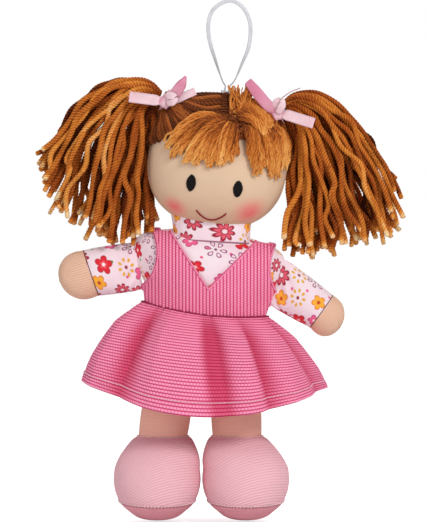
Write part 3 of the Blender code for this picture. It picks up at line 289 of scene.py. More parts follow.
def band(path, wide, width, thickness, cup=0.0):
    """A flat ribbon's closed skin: a rounded oblong section carried along a path, with its width along wide.

    Its edges lift off the flat by cup times the square of the share of the half width.
    """
    path = np.asarray(path)
    along = unit(np.gradient(path, axis=0))
    wide = unit(wide - along * np.sum(along * wide, axis=1, keepdims=True))
    flat = np.cross(along, wide)
    turn = np.linspace(0.0, TAU, 13)
    across = squared(np.cos(turn), 0.35) * width / 2.0
    up = squared(np.sin(turn), 0.35) * thickness / 2.0
    up = up[None, :] + np.reshape(cup, (-1, 1)) * (2.0 * across[None, :] / width) ** 2
    grid = path[:, None] + wide[:, None] * across[None, :, None] + flat[:, None] * up[..., None]
    hub = np.zeros((1, 13, 1))
    grid = np.concatenate([path[:1, None] + hub, grid, path[-1:, None] + hub])
    return grid, layers(across[None, :], ends_twice(travel(path))[:, None])


def dress(tree, shader, colour, height, distance, strength=1.0):
    """Gives a shader its colour, and a height in shares of distance as its normal."""
    bump = node(tree, "Bump", Height=height, Distance=distance, Strength=strength)
    tree.links.new(colour, shader.inputs["Base Color"])
    tree.links.new(bump.outputs["Normal"], shader.inputs["Normal"])


def chart_of(tree, turned=False):
    """The cloth's flat chart in metres, with its two axes changed over if it is turned."""
    chart = node(tree, "UVMap", {"uv_map": "cloth"}).outputs[0]
    if not turned:
        return chart
    parts = node(tree, "SeparateXYZ", Vector=chart).outputs
    return node(tree, "CombineXYZ", X=parts["Y"], Y=parts["X"]).outputs[0]


def place_of(tree):
    """Where a place of the piece is, in the doll's frame."""
    return node(tree, "TexCoord").outputs["Object"]


def tone_of(tree):
    """How light the cloth is at a place, from the mesh's own tone."""
    return node(tree, "Attribute", {"attribute_name": "tone"}).outputs["Fac"]


def blended(tree, share, first, second):
    """The first colour, going over to the second by a share."""
    return node(tree, "MixRGB", Fac=share, Color1=first, Color2=second).outputs[0]


def shade(colour, share):
    """A colour made darker to a share, or lighter up to white."""
    return tuple(min(1.0, channel * share) for channel in colour[:3]) + (1.0,)


def satin(name, colour, half_width, crease_shade=None):
    """Woven satin ribbon: fine warp lines, a soft broad shine, clouds of painted highlight and shade, painted shade
    along its woven edges, and a deeper colour of painted shade in creases.
    """
    made, tree, shader = finish_of(name, colour, 0.38, sheen=0.12, Anisotropic=0.4, Specular_IOR_Level=0.5)
    chart = chart_of(tree)
    warp = node(tree, "Mapping", Vector=chart, Scale=(9000.0, 900.0, 1.0))
    grain = node(tree, "TexNoise", {"noise_dimensions": "2D"}, Vector=warp.outputs[0], Scale=1.0, Detail=2.0)
    cloud = node(tree, "TexNoise", Vector=place_of(tree), Scale=160.0, Detail=2.0)
    # painted highlight and shade: the colour made lighter and darker over soft clouds
    mixed = blended(tree, cloud.outputs[0], shade(colour, 0.72), shade(colour, 1.12))
    # painted shade along both edges of the ribbon
    across = maths(tree)("ABSOLUTE", node(tree, "SeparateXYZ", Vector=chart).outputs["X"])
    edge = node(tree, "MapRange", Value=across, From_Min=half_width * 0.70, From_Max=half_width * 0.98,
                To_Min=0.0, To_Max=0.6)
    mixed = blended(tree, edge.outputs[0], mixed, shade(colour, 0.45))
    # painted shade in the creases: the crease shade colour where the tone is low
    if crease_shade:
        mixed = blended(tree, tone_of(tree), crease_shade, mixed)
    dress(tree, shader, mixed, grain.outputs[0], 0.00006)
    return made


loop_path = route(LOOP_ROUTE, 110)
loop_turn = np.radians(80.0) * (1.0 - np.clip((loop_path[:, 2] + 0.0430) / 0.026, 0.0, 1.0)) ** 1.2
loop_flat = unit(np.cross(unit(np.gradient(loop_path, axis=0)), BACK))
loop_wide = loop_flat * np.cos(loop_turn)[:, None] + BACK * np.sin(loop_turn)[:, None]
loop_grid, loop_chart = band(loop_path, loop_wide, LOOP_WIDTH, LOOP_THICKNESS)
white_satin = satin("white_satin", dye(214, 214, 220), LOOP_WIDTH / 2.0)
hang_loop = piece("hanging_ribbon", [loop_grid], [loop_chart], white_satin, "head", "white_ribbon", "hang_loop")


# Head: a ball of cream cotton jersey, stuffed hard, a little flat from front to back and fuller in the
# lower face, and set with a slight roll on the neck. The cheeks are rubbed with pink.
HEAD_MIDDLE = np.array([-0.0073, 0.0, -0.0930])
HEAD_HALF = np.array([0.0406, 0.0300, 0.0375])
HEAD_ROLL = math.radians(7.4)
HEAD_POWERS = (2.1, 2.35)


def rolled(angle):
    """A turn by an angle in the front view, as a matrix."""
    return np.array([[math.cos(angle), 0.0, math.sin(angle)], BACK, [-math.sin(angle), 0.0, math.cos(angle)]])


HEAD_TURN = rolled(HEAD_ROLL)
FACE_HALF = HEAD_HALF[[0, 2]]
CREAM = dye(226, 194, 164)
# painted shade colour of the lower face
JAW_SHADE = dye(212, 164, 132)
BLUSH = dye(238, 104, 108)
BLUSHES = (((-0.0212, -0.0285), 0.0066), ((0.0222, -0.0262), 0.0084))


def from_head(points):
    """Places given from the middle of the rolled head, in the doll's frame."""
    return np.asarray(points) @ HEAD_TURN.T + HEAD_MIDDLE


def head_reach(way, growth=0.0):
    """Distance from the head's middle to its skin: a round section in depth over a fuller one in front."""
    way = np.asarray(way)
    power = np.where(way[..., 2] < 0.0, HEAD_POWERS[1], HEAD_POWERS[0])
    wide = np.abs(way[..., 0]) / (HEAD_HALF[0] + growth)
    tall = np.abs(way[..., 2]) / (HEAD_HALF[2] + growth)
    front = (wide ** power + tall ** power) ** (2.0 / power)
    return 1.0 / np.sqrt(front + (way[..., 1] / (HEAD_HALF[1] + growth)) ** 2)


def on_head(way, growth=0.0):
    """Places on the head's skin in directions from its middle, lifted off it by growth."""
    way = unit(np.asarray(way))
    return from_head(way * head_reach(way, growth)[..., None])


def on_face(across, up, growth=0.0):
    """Places on the front of the head over (across, up), by finding the depth of the skin there."""
    across, up = np.broadcast_arrays(np.asarray(across, float), np.asarray(up, float))
    power = np.where(up < 0.0, HEAD_POWERS[1], HEAD_POWERS[0])
    total = (np.abs(across) / HEAD_HALF[0]) ** power + (np.abs(up) / HEAD_HALF[2]) ** power
    depth = -HEAD_HALF[1] * np.sqrt(np.maximum(1e-4, 1.0 - total ** (2.0 / power)))
    skin = np.stack([across, depth, up], axis=-1)
    away = unit(skin / HEAD_HALF ** 2)
    return from_head(skin + away * np.asarray(growth)[..., None]), away @ HEAD_TURN.T


def new_group(name, takes, gives):
    """An empty shared effect. Each socket has a name, a kind and, for a number, a first value."""
    group = bpy.data.node_groups.new(name, "ShaderNodeTree")
    for way, sockets in (("INPUT", takes), ("OUTPUT", gives)):
        for socket, kind, *value in sockets:
            made = group.interface.new_socket(name=socket, in_out=way, socket_type="NodeSocket" + kind)
            if value:
                made.default_value = value[0]
    return group, group.nodes.new("NodeGroupInput").outputs, group.nodes.new("NodeGroupOutput").inputs


def knit_group():
    """Ribs of knitted stitches over a flat chart: a round rib across, slanting stitches along it."""
    takes = (("Chart", "Vector"), ("Rib", "Float", 0.001), ("Stitch", "Float", 0.001),
        ("Slant", "Float", 0.35))
    group, given, result = new_group("knit_ribs", takes, (("Height", "Float"), ("Shade", "Float")))
    do = maths(group)
    parts = node(group, "SeparateXYZ", Vector=given["Chart"]).outputs
    column = do("DIVIDE", parts["X"], given["Rib"])
    off = do("MULTIPLY", do("ABSOLUTE", do("SUBTRACT", do("FRACT", column), 0.5)), 2.0)
    rib = do("SQRT", do("MAXIMUM", do("SUBTRACT", 1.0, do("MULTIPLY", off, off)), 0.0))
    row = do("DIVIDE", parts["Y"], given["Stitch"])
    row = do("ADD", row, do("MULTIPLY", off, given["Slant"]))
    row = do("ADD", row, do("MULTIPLY", do("FLOOR", column), 0.5))
    wave = do("ABSOLUTE", do("SUBTRACT", do("FRACT", row), 0.5))
    stitch = do("SUBTRACT", 1.0, do("POWER", do("MULTIPLY", wave, 2.0), 3.0))
    height = do("MULTIPLY", rib, do("MULTIPLY_ADD", stitch, 0.4, 0.6))
    group.links.new(height, result["Height"])
    group.links.new(do("SMOOTH_MIN", do("MULTIPLY_ADD", height, 0.9, 0.25), 1.0, 0.2), result["Shade"])
    return group


def tone_group():
    """Uneven dye and handling: a colour made lighter and darker by two sizes of cloud."""
    takes = (("Color", "Color"), ("Amount", "Float", 0.1))
    group, given, result = new_group("uneven_tone", takes, (("Color", "Color"),))
    do, place = maths(group), place_of(group)
    wide = node(group, "TexNoise", Vector=place, Scale=70.0, Detail=2.0)
    fine = node(group, "TexNoise", Vector=place, Scale=900.0, Detail=3.0)
    spread = do("SUBTRACT", do("ADD", wide.outputs[0], fine.outputs[0]), 1.0)
    change = do("MULTIPLY_ADD", spread, given["Amount"], 1.0)
    scaled = node(group, "VectorMath", {"operation": "SCALE"}, i0=given["Color"], Scale=change)
    group.links.new(scaled.outputs[0], result["Color"])
    return group


KNIT = {"node_tree": knit_group()}
TONE = {"node_tree": tone_group()}


def jersey_face():
    """Cream jersey with faint knit grain, painted shade that makes it darker and warmer towards the jaw, and rubbed
    pink on both cheeks.
    """
    made, tree, shader = finish_of("cream_jersey", CREAM, 0.82, sheen=0.2)
    do, place = maths(tree), place_of(tree)
    colour = node(tree, "Group", TONE, Color=CREAM, Amount=0.06).outputs[0]
    # painted shade over the lower face, going over to the jaw shade colour
    low = node(tree, "MapRange", {"interpolation_type": "SMOOTHSTEP"}, From_Min=-0.134, From_Max=-0.106,
               To_Min=0.50, To_Max=0.0, Value=node(tree, "SeparateXYZ", Vector=place).outputs["Z"])
    colour = blended(tree, low.outputs[0], colour, JAW_SHADE)
    patchy = node(tree, "TexNoise", Vector=place, Scale=420.0, Detail=4.0)
    for (across, up), radius in BLUSHES:
        middle = on_face([across], [up])[0][0]
        away = node(tree, "VectorMath", {"operation": "DISTANCE"}, i0=place, i1=tuple(middle))
        soft = node(tree, "MapRange", {"interpolation_type": "SMOOTHSTEP"}, Value=away.outputs["Value"],
                    From_Min=0.0, From_Max=radius * 1.6, To_Min=0.88, To_Max=0.0)
        patch = do("MULTIPLY", soft.outputs[0], do("MULTIPLY_ADD", patchy.outputs[0], 0.5, 0.7))
        colour = blended(tree, patch, colour, BLUSH)
    knit = node(tree, "Group", KNIT, Chart=chart_of(tree), Rib=0.00062, Stitch=0.0005)
    dress(tree, shader, colour, knit.outputs["Height"], 0.00009)
    return made


head_rise = np.linspace(0.0, math.pi, 121)[:, None]
head_round = np.linspace(0.0, TAU, 181)[None, :]
head_way = layers(np.sin(head_rise) * np.cos(head_round), np.sin(head_rise) * np.sin(head_round), np.cos(head_rise))
head_grid = from_head(head_way * head_reach(unit(head_way))[..., None])
head_chart = layers(head_round * 0.0390, head_rise * 0.0380)
piece("head_skin", [head_grid], [head_chart], jersey_face(), "head", "face_cotton", "head", fill=0.95)


# Face: eyes of upright black satin stitches, padded to a low dome, and a mouth of one line of small
# crimson back stitches.
EYE_PLACES = {"left": (-0.0135, -0.0132), "right": (0.0135, -0.0132)}
EYE_HALF = (0.0027, 0.0045)
MOUTH_HALF_WIDTH = 0.0084
MOUTH_DROP = 0.0285
MOUTH_DEPTH = 0.0044
EYE_STITCHES = 19
EYE_THREAD = 0.00020
MOUTH_THREAD = 0.00050


def threads(paths, outward, radius, sides=6):
    """Round threads along centre lines (strands, places, 3), with rounded ends, as grids and charts."""
    paths = np.asarray(paths, dtype=float)
    radius = np.broadcast_to(np.asarray(radius, dtype=float), paths.shape[:2])[:, :, None, None]
    along = unit(np.gradient(paths, axis=1))
    side = unit(np.cross(along, outward))
    out = np.cross(side, along)
    turn = np.linspace(0.0, TAU, sides + 1)
    ring = side[:, :, None] * np.cos(turn)[:, None] + out[:, :, None] * np.sin(turn)[:, None]
    rows = []
    for end, way, beyond, narrow in ((slice(0, 1), -1.0, 0.8, 0.0), (slice(0, 1), -1.0, 0.6, 0.55),
                                     (slice(-1, None), 1.0, 0.6, 0.55), (slice(-1, None), 1.0, 0.8, 0.0)):
        rows.append(paths[:, end, None] + way * along[:, end, None] * radius[:, end] * beyond
                    + ring[:, end] * radius[:, end] * narrow)
    rows.insert(2, paths[:, :, None] + ring * radius)
    travelled = ends_twice(ends_twice(travel(paths), 1), 1)
    return np.concatenate(rows, axis=1), layers(turn[None, None] / TAU, travelled[:, :, None])


def sewing_thread(name, colour, roughness=0.5, deep=0.55, shine=0.4):
    """Mercerised thread: fine twist lines across each strand, with painted shade in them darker by deep, and a slight
    shine.
    """
    made, tree, shader = finish_of(name, colour, roughness, sheen=shine * 0.25, Specular_IOR_Level=shine)
    turned = node(tree, "Mapping", Vector=chart_of(tree), Rotation=(0.0, 0.0, 0.6), Scale=(6.0, 5000.0, 1.0))
    twist = node(tree, "TexWave", {"wave_type": "BANDS", "bands_direction": "Y"}, Vector=turned.outputs[0], Scale=0.4)
    dress(tree, shader, blended(tree, twist.outputs["Fac"], shade(colour, deep), colour), twist.outputs["Fac"], 0.00004)
    return made


def draws(seed, side):
    """Chance values of one side's own."""
    return np.random.default_rng(seed + SIDES.index(side))


def between(first, last, share):
    """Values a share of the way from the first to the last."""
    return np.asarray(first) * (1.0 - share) + np.asarray(last) * share


black_thread = sewing_thread("black_silk", dye(9, 6, 6), 0.55, shine=0.14)
for side, (middle_across, middle_up) in EYE_PLACES.items():
    share = np.linspace(-0.95, 0.95, EYE_STITCHES)
    rng = draws(7, side)
    half = EYE_HALF[1] * 1.04 * (1.0 - np.abs(share) ** 1.8) ** 0.62 + rng.uniform(-0.0001, 0.00025, EYE_STITCHES)
    up = middle_up + np.linspace(-1.0, 1.0, 9)[None, :] * half[:, None]
    across = np.broadcast_to((middle_across + share * EYE_HALF[0])[:, None], up.shape)
    arch = np.sqrt(np.maximum(0.0, 1.0 - np.linspace(-1.0, 1.0, 9) ** 2 * 0.92))
    lift = 0.00012 + 0.00050 * arch[None, :] * np.sqrt(1.0 - (share[:, None] * 0.9) ** 2)
    places, normals = on_face(across, up, lift)
    piece(f"eye_stitches_{side}", *threads(places, normals, EYE_THREAD), black_thread, "head", "black_thread",
          f"eye_{side}")

mouth_share = np.linspace(-1.0, 1.0, 12)
mouth_line = np.stack([mouth_share * MOUTH_HALF_WIDTH, -MOUTH_DROP - MOUTH_DEPTH * (1.0 - mouth_share ** 2)], axis=1)
mouth_ends = mouth_line[1:] + (mouth_line[1:] - mouth_line[:-1]) * 0.12
mouth_flat = between(mouth_line[:-1, None], mouth_ends[:, None], np.linspace(0.0, 1.0, 7)[None, :, None])
mouth_lift = 0.00012 + 0.00030 * np.sin(np.linspace(0.0, math.pi, 7))[None, :]
places, normals = on_face(mouth_flat[..., 0], mouth_flat[..., 1], np.broadcast_to(mouth_lift, (11, 7)))
piece("mouth_stitches", *threads(places, normals, MOUTH_THREAD, 8), sewing_thread("crimson_silk", dye(150, 26, 36)),
      "head", "crimson_thread", "mouth_stitch")


# Yarn cap: plied wool yarn sewn down along the parting and the hairline, and drawn from there over
# the skull to the two bindings. A darker thread holds the parting.
YARN_RADIUS = 0.00155
YARN_PITCH = 0.0054
CAP_RISE = 0.0060
CAP_SLOPE = 1.2
FRONT_RISE = -0.0006
FRONT_SLOPE = 0.62
TIE_ACROSS = {"left": -0.84, "right": 0.75}
TIE_RISE = {"left": 0.84, "right": 0.88}
TIE_ANGLE = {"left": math.radians(26.0), "right": math.radians(22.0)}
SIGN = {"left": -1.0, "right": 1.0}
PARTING_STRANDS = 36
# the top of the sheet of painted shade under the yarn
SHADE_LAYER_TOP = np.array([0.0, 0.45, 0.89])


def yarn(paths, outward, radius, rng, pitch=YARN_PITCH, depth=0.09, sides=9):
    """Plied yarn along centre lines (strands, places, 3), as grids and charts.

    The section has three lobes, its radius times (1 + depth x cosine of three times the angle), and the
    section turns once in each pitch of length. The ends narrow to a blunt tip.
    """
    count, places = paths.shape[:2]
    along = unit(np.gradient(paths, axis=1))
    side = unit(np.cross(along, outward))
    out = np.cross(side, along)
    travelled = travel(paths)
    lobe = np.linspace(0.0, TAU, sides + 1)
    turn = lobe[None, None] - travelled[:, :, None] / pitch * TAU + rng.uniform(0.0, TAU, count)[:, None, None]
    reach = np.broadcast_to(np.asarray(radius, dtype=float).reshape(-1, 1), (count, places)).copy()
    reach *= 1.0 + 0.06 * np.sin(travelled / 0.011 + rng.uniform(0.0, TAU, count)[:, None])
    reach[:, -1] *= 0.82
    ring = side[:, :, None] * np.cos(turn)[..., None] + out[:, :, None] * np.sin(turn)[..., None]
    grid = paths[:, :, None] + ring * (reach[:, :, None] * (1.0 + depth * np.cos(3.0 * lobe)))[..., None]
    hub = np.zeros((1, 1, sides + 1, 1))
    end = paths[:, -1:, None] + along[:, -1:, None] * reach[:, -1:, None, None] * 0.3 + hub
    grid = np.concatenate([paths[:, :1, None] + hub, grid, end], axis=1)
    return grid, layers(lobe[None, None] / TAU, ends_twice(travelled, 1)[:, :, None])


def set_ramp(ramp, *stops):
    """Gives a colour ramp its stops, each a place and a colour. The first two are its ends."""
    for element, (place, colour) in zip(ramp.color_ramp.elements, stops):
        element.position = place
        element.color = colour
    for place, colour in stops[2:]:
        ramp.color_ramp.elements.new(place).color = colour
    return ramp.outputs[0]


def wool(name, light, middle, deep, fluff=0.35, streak=0.66, relief=0.00022):
    """Plied wool: painted shade between the plies, streaked with single fibres along each ply, and a soft fuzz."""
    made, tree, shader = finish_of(name, middle, 0.88, sheen=fluff, sheen_colour=light, Specular_IOR_Level=0.12)
    do, tone = maths(tree), tone_of(tree)
    parts = node(tree, "SeparateXYZ", Vector=chart_of(tree)).outputs
    lobe = do("MULTIPLY_ADD", do("COSINE", do("MULTIPLY", parts["X"], 3.0 * TAU)), 0.5, 0.5)
    cloud = node(tree, "TexNoise", Vector=place_of(tree), Scale=55.0, Detail=2.0).outputs[0]
    shifted = node(tree, "CombineXYZ", X=do("MULTIPLY", parts["X"], 26.0), Y=do("MULTIPLY", parts["Y"], 330.0),
                   Z=do("MULTIPLY_ADD", cloud, 14.0, do("MULTIPLY", tone, 5.0))).outputs[0]
    fibre = node(tree, "TexNoise", Vector=shifted, Scale=1.0, Detail=3.0, Roughness=0.55).outputs[0]
    # painted shade in the grooves between the plies, by the lobe wave
    bright = do("ADD", do("MULTIPLY_ADD", fibre, streak, 0.33 - 0.5 * streak), do("MULTIPLY", lobe, 0.19))
    # the tone makes the colour lighter and darker; some pieces carry painted shade in it
    bright = do("ADD", bright, do("MULTIPLY", do("SUBTRACT", tone, 0.5), 0.55))
    bright = do("ADD", bright, do("MULTIPLY", do("SUBTRACT", cloud, 0.5), 0.5))
    cream = (0.5 * light[0] + 0.5, 0.5 * light[1] + 0.5, 0.5 * light[2] + 0.32, 1.0)
    ramp = node(tree, "ValToRGB", Fac=bright)
    colour = set_ramp(ramp, (0.10, deep), (1.0, cream), (0.42, middle), (0.80, light))
    dress(tree, shader, colour, do("ADD", fibre, do("MULTIPLY", lobe, 0.35)), relief)
    return made


def tie_place(side):
    """Middle of a bunch's binding in the doll's frame, and the direction in which it points."""
    middle = from_head([TIE_ACROSS[side] * HEAD_HALF[0], 0.0, TIE_RISE[side] * HEAD_HALF[2]])
    return middle, np.array([SIGN[side] * math.cos(TIE_ANGLE[side]), 0.0, math.sin(TIE_ANGLE[side])])


def hairline(side, count):
    """Directions along the hairline, forehead to nape: where a slanting plane cuts the head."""
    swing = np.linspace(-math.pi / 2, math.pi / 2, count)[:, None]
    ahead = np.clip(-swing / 0.25, 0.0, 1.0)
    tilt = np.arctan(CAP_SLOPE + (FRONT_SLOPE - CAP_SLOPE) * ahead)
    rise = CAP_RISE + (FRONT_RISE - CAP_RISE) * ahead
    normal = np.concatenate([tilt * 0.0, np.sin(tilt), np.cos(tilt)], axis=1)
    rear = np.concatenate([tilt * 0.0, np.cos(tilt), -np.sin(tilt)], axis=1)
    flat = np.cos(swing) * np.array([SIGN[side], 0.0, 0.0]) + np.sin(swing) * rear
    reach = np.full((count, 1), 0.036)
    for _ in range(12):
        point = normal * rise * np.cos(tilt) + flat * reach
        size = np.linalg.norm(point, axis=1, keepdims=True)
        reach = reach * head_reach(point / size)[:, None] / size
    return point / np.linalg.norm(point, axis=1, keepdims=True)


wool_cap = wool("brown_wool", dye(178, 98, 44), dye(124, 62, 26), dye(44, 14, 6), fluff=0.2)


def drawn_strands(starts, target, rng, radius, rise, pitch):
    """Yarn laid over the skull from its sewn starts to a binding, along great circles that sag a little forward."""
    angle = np.arccos(np.clip(starts @ target, -1.0, 1.0))[:, None, None]
    share = np.linspace(0.0, 1.0, 72)[None, :, None]
    stop = 1.0 - 0.10 / angle
    way = (np.sin((1 - share * stop) * angle) * starts[:, None] + np.sin(share * stop * angle) * target) / np.sin(angle)
    sag = np.sin(share * math.pi) * np.clip(1.2 - np.arange(len(starts)) / 9.0, 0.0, 1.0)[:, None, None] * 0.20
    way = unit(way + sag * np.array([0.0, -1.0, -0.25]))
    layer = (np.arange(len(starts)) % 2)[:, None]
    near = share[..., 0] ** 3
    lift = rise + radius * 0.9 + near * (0.0006 + 0.0020 * layer) + rng.uniform(0.0, 0.0005, (len(starts), 1))
    lift = lift - 0.0012 * (1.0 - np.minimum(1.0, share[..., 0] * 9.0))
    drift = rng.normal(0.0, radius * 0.28, (len(starts), 5, 3))
    paths = on_head(way, lift) + np.stack([spline(one, np.linspace(0, 4, 72)) for one in drift])
    return yarn(paths, unit(paths - HEAD_MIDDLE), radius, rng, pitch=pitch)


# A dark sheet of painted shade under the drawn yarn, from the hairline up over the skull, so that the gaps between the
# strands show dark.
edge_way = np.concatenate([hairline("left", 60), hairline("right", 60)[::-1][1:-1], hairline("left", 1)])
edge_rise = np.linspace(0.0, 1.0, 26)[:, None, None] * math.pi / 2
shade_layer_way = unit(edge_way[None] * np.cos(edge_rise) + SHADE_LAYER_TOP * np.sin(edge_rise))
shade_layer_lift = np.full(shade_layer_way.shape[:2], 0.0005)
shade_layer_lift[0] = -0.0004
piece("cap_lining", [on_head(shade_layer_way, shade_layer_lift)], [shade_layer_way[..., :2] * 0.04],
      wool("shade_layer_wool", dye(86, 42, 20), dye(64, 27, 13), dye(42, 15, 7)), "head", "brown_yarn", tones=[0.5])

for side in SIDES:
    rng = draws(21, side)
    angles = np.radians(np.linspace(52.0, 226.0, PARTING_STRANDS))
    parting = np.stack([np.full(PARTING_STRANDS, SIGN[side] * 0.020), -np.cos(angles), np.sin(angles)], axis=1)
    target = unit((tie_place(side)[0] - HEAD_MIDDLE) @ HEAD_TURN)
    coarse = drawn_strands(unit(parting), target, rng, YARN_RADIUS * 0.84, 0.0006, 0.0066)
    fine = drawn_strands(unit(hairline(side, 80)[2:-2][::-1]), target, rng, 0.00125, 0.0005, 0.0060)
    tones = np.concatenate([rng.uniform(0.0, 0.82, PARTING_STRANDS), rng.uniform(0.0, 0.95, 76)])
    piece(f"yarn_cap_{side}", *(np.concatenate(both) for both in zip(coarse, fine)), wool_cap, "head", "brown_yarn",
          f"hair_cap_{side}", tones=tones)

seam_angles = np.radians(np.arange(50.0, 226.0, 3.2))
seam_way = np.stack([np.zeros(len(seam_angles)), -np.cos(seam_angles), np.sin(seam_angles)], axis=1)
seam_steps = np.linspace(-1.0, 1.0, 7)[None, :, None]
seam_lean = np.roll(seam_way, -1, axis=0)[:, None] * 0.35 * (seam_steps + 1.0) / 2.0
seam_lean[-1] = 0.0
seam_places = on_head(unit(seam_way[:, None] + np.array([0.055, 0.0, 0.0]) * seam_steps + seam_lean),
                      0.0029 + 0.0007 * (1.0 - seam_steps[..., 0] ** 2))
brown_thread = sewing_thread("brown_cotton_thread", dye(124, 64, 30), 0.8, shine=0.15)
piece("parting_stitches", *threads(seam_places, unit(seam_places - HEAD_MIDDLE), 0.00042), brown_thread, "head",
      "brown_thread", "parting_seam")


# Fringe: the ends of brighter yarn, sewn at the front of the parting under a few dark stitches, and
# brushed out into locks over the forehead, with more locks over the right of the cap and a tuft that
# stands up off the crown.
# each lobe's darker value is painted shade taken off its tones: the left lobe is painted darker, as the side away from
# the light
LOBES = {
    "left": {
        "roots": ((-0.01, 0.70), (0.05, 0.68), (0.11, 0.67), (0.17, 0.68)),
        "ends": ((-0.74, 0.12), (-0.66, -0.03), (-0.49, -0.05), (-0.31, -0.09), (-0.13, -0.08),
            (0.04, -0.05), (0.17, 0.02),
                 (0.25, 0.13)),
        "bends": ((-0.08, 0.17), (-0.03, 0.00)),
        "darker": 0.16,
    },
    "right": {
        "roots": ((0.27, 0.62), (0.34, 0.63), (0.46, 0.66), (0.58, 0.66)),
        "ends": ((0.47, 0.12), (0.52, 0.00), (0.60, -0.10), (0.72, -0.13), (0.84, -0.12), (0.92, -0.01),
            (0.93, 0.16)),
        "bends": ((-0.02, 0.02), (0.12, 0.22)),
        "darker": 0.0,
    },
}
LOCK_STRANDS = 13
FINE_PITCH = 0.0110
TUFT_STRANDS = 84
wool_fringe = wool("orange_wool", dye(244, 180, 98), dye(196, 108, 40), dye(100, 40, 14), fluff=0.30,
                   streak=0.62, relief=0.00010)


def brushed_locks(roots, ends, bends, lift, spread, rng, rise=0.0):
    """Brushed-out yarn in locks, as grids and charts, with a tone that brightens to the tips.

    Each lock is a bundle of fine strands. The strands keep their place in a turning oval round one bent
    line from root to end, which is widest past its middle, and they end unevenly.
    """
    locks, steps = len(roots), np.linspace(0.0, 1.0, 30)
    near, far = roots * 0.64 + ends * 0.36 + bends * 0.8, roots * 0.25 + ends * 0.75 + bends * 0.5
    knots = np.stack([roots, near, far, ends], axis=1)
    reach = rng.uniform(0.84, 1.0, (locks, LOCK_STRANDS))
    flat = np.stack([[spline(one, 3.0 * steps * share) for share in shares] for one, shares in zip(knots, reach)])
    flat = flat * FACE_HALF
    along = unit(np.gradient(flat, axis=2))
    across = np.stack([-along[..., 1], along[..., 0]], axis=-1)
    out = np.sqrt(rng.uniform(0.02, 1.0, (locks, LOCK_STRANDS, 1)))
    turn = rng.uniform(0.0, TAU, (locks, LOCK_STRANDS, 1)) + 2.4 * steps
    wide = np.reshape(spread, (-1, 1, 1)) * (0.45 + 0.62 * np.sin(np.clip(steps * 0.80, 0.0, 1.0) * math.pi * 0.62))
    frizz = sum(rng.normal(0.0, 0.00024, (locks, LOCK_STRANDS, 1, 2))
                * np.sin(steps[:, None] * rate + rng.uniform(0, TAU, (locks, LOCK_STRANDS, 1, 1)))
                for rate in (11.0, 19.0, 31.0)) * (0.3 + steps[:, None])
    flat = flat + across * (out * np.cos(turn) * wide)[..., None] + frizz
    arch = np.sin(np.clip(steps * 1.08, 0.0, 1.0) * math.pi) ** 0.7
    height = (0.0011 + np.reshape(lift, (-1, 1, 1)) * arch + rise * (1.0 - steps)
              + (0.5 + 0.5 * out * np.sin(turn)) * wide * 0.8)
    total = np.sqrt((flat[..., 0] / FACE_HALF[0]) ** 2 + (flat[..., 1] / FACE_HALF[1]) ** 2)
    flat = flat / np.maximum(1.0, total / 0.985)[..., None]
    places, normals = (values.reshape(-1, 30, 3) for values in on_face(flat[..., 0], flat[..., 1], height))
    radii = rng.uniform(0.00048, 0.00080, len(places))
    grid, chart = yarn(places, normals, radii, rng, pitch=FINE_PITCH, depth=0.12, sides=6)
    base = rng.normal(0.40, 0.15, (locks, 1)) + rng.normal(0.0, 0.12, (locks, LOCK_STRANDS))
    return grid, chart, base.reshape(-1, 1) + ends_twice(steps) ** 1.7 * 0.84 - 0.22


for side, lobe in LOBES.items():
    rng = draws(31, side)
    count = 2 * len(lobe["ends"]) - 1
    order = np.linspace(0.0, 1.0, count)
    uneven = np.array([0.0, 0.10]) * (np.arange(count) % 2)[:, None]
    ends = spline(lobe["ends"], order * (len(lobe["ends"]) - 1)) + uneven + rng.normal(0, 0.012, (count, 2))
    roots = spline(lobe["roots"], order * (len(lobe["roots"]) - 1)) + rng.normal(0.0, 0.012, (count, 2))
    bends = between(*lobe["bends"], order[:, None])
    lift = 0.0007 + 0.0014 * ((np.arange(count) % 2) == 0) + rng.uniform(0.0, 0.0004, count)
    grid, chart, tones = brushed_locks(roots, ends, bends, lift, rng.uniform(0.0019, 0.0026, count), rng)
    piece(f"fringe_lobe_{side}", grid, chart, wool_fringe, "head", "orange_yarn", f"fringe_{side}",
          tones=tones - lobe["darker"])

rng = np.random.default_rng(34)
order = np.linspace(0.0, 1.0, 12)[:, None]
roots, bends = between((0.10, 0.93), (0.20, 0.66), order), between((0.04, 0.10), (0.02, 0.06), order)
ends = between((0.72, 0.60), (0.62, 0.44), order) + rng.normal(0, 0.03, (12, 2))
grid, chart, tones = brushed_locks(roots, ends, bends, np.full(12, 0.0022), np.full(12, 0.0021), rng, 0.0022)
piece("crown_locks", grid, chart, wool_fringe, "head", "orange_yarn", tones=tones - 0.02)

rng = np.random.default_rng(35)
tuft_root = np.stack([rng.uniform(0.07, 0.30, TUFT_STRANDS), rng.uniform(0.62, 0.86, TUFT_STRANDS)], axis=1)
tuft_end = np.stack([rng.uniform(0.05, 0.34, TUFT_STRANDS), rng.uniform(0.88, 0.975, TUFT_STRANDS)], axis=1)
steps = np.linspace(0.0, 1.0, 22)
tuft_flat = (between(tuft_root[:, None], tuft_end[:, None], steps[:, None])
             + rng.normal(0, 0.02, (TUFT_STRANDS, 1, 2)) * np.sin(steps[:, None] * 8.0)) * FACE_HALF
tuft_lift = 0.0030 + 0.0056 * rng.uniform(0.2, 1.0, (TUFT_STRANDS, 1)) * steps ** 1.4
places, normals = on_face(tuft_flat[..., 0], tuft_flat[..., 1], tuft_lift)
places[..., 2] += 0.0056 * steps ** 2 * rng.uniform(0.1, 0.9, (TUFT_STRANDS, 1))
radii = rng.uniform(0.0003, 0.0005, TUFT_STRANDS)
grid, chart = yarn(places, normals, radii, rng, pitch=0.0100, depth=0.12, sides=6)
piece("fringe_tuft", grid, chart, wool_fringe, "head", "orange_yarn", tones=rng.uniform(0.30, 0.75, TUFT_STRANDS))

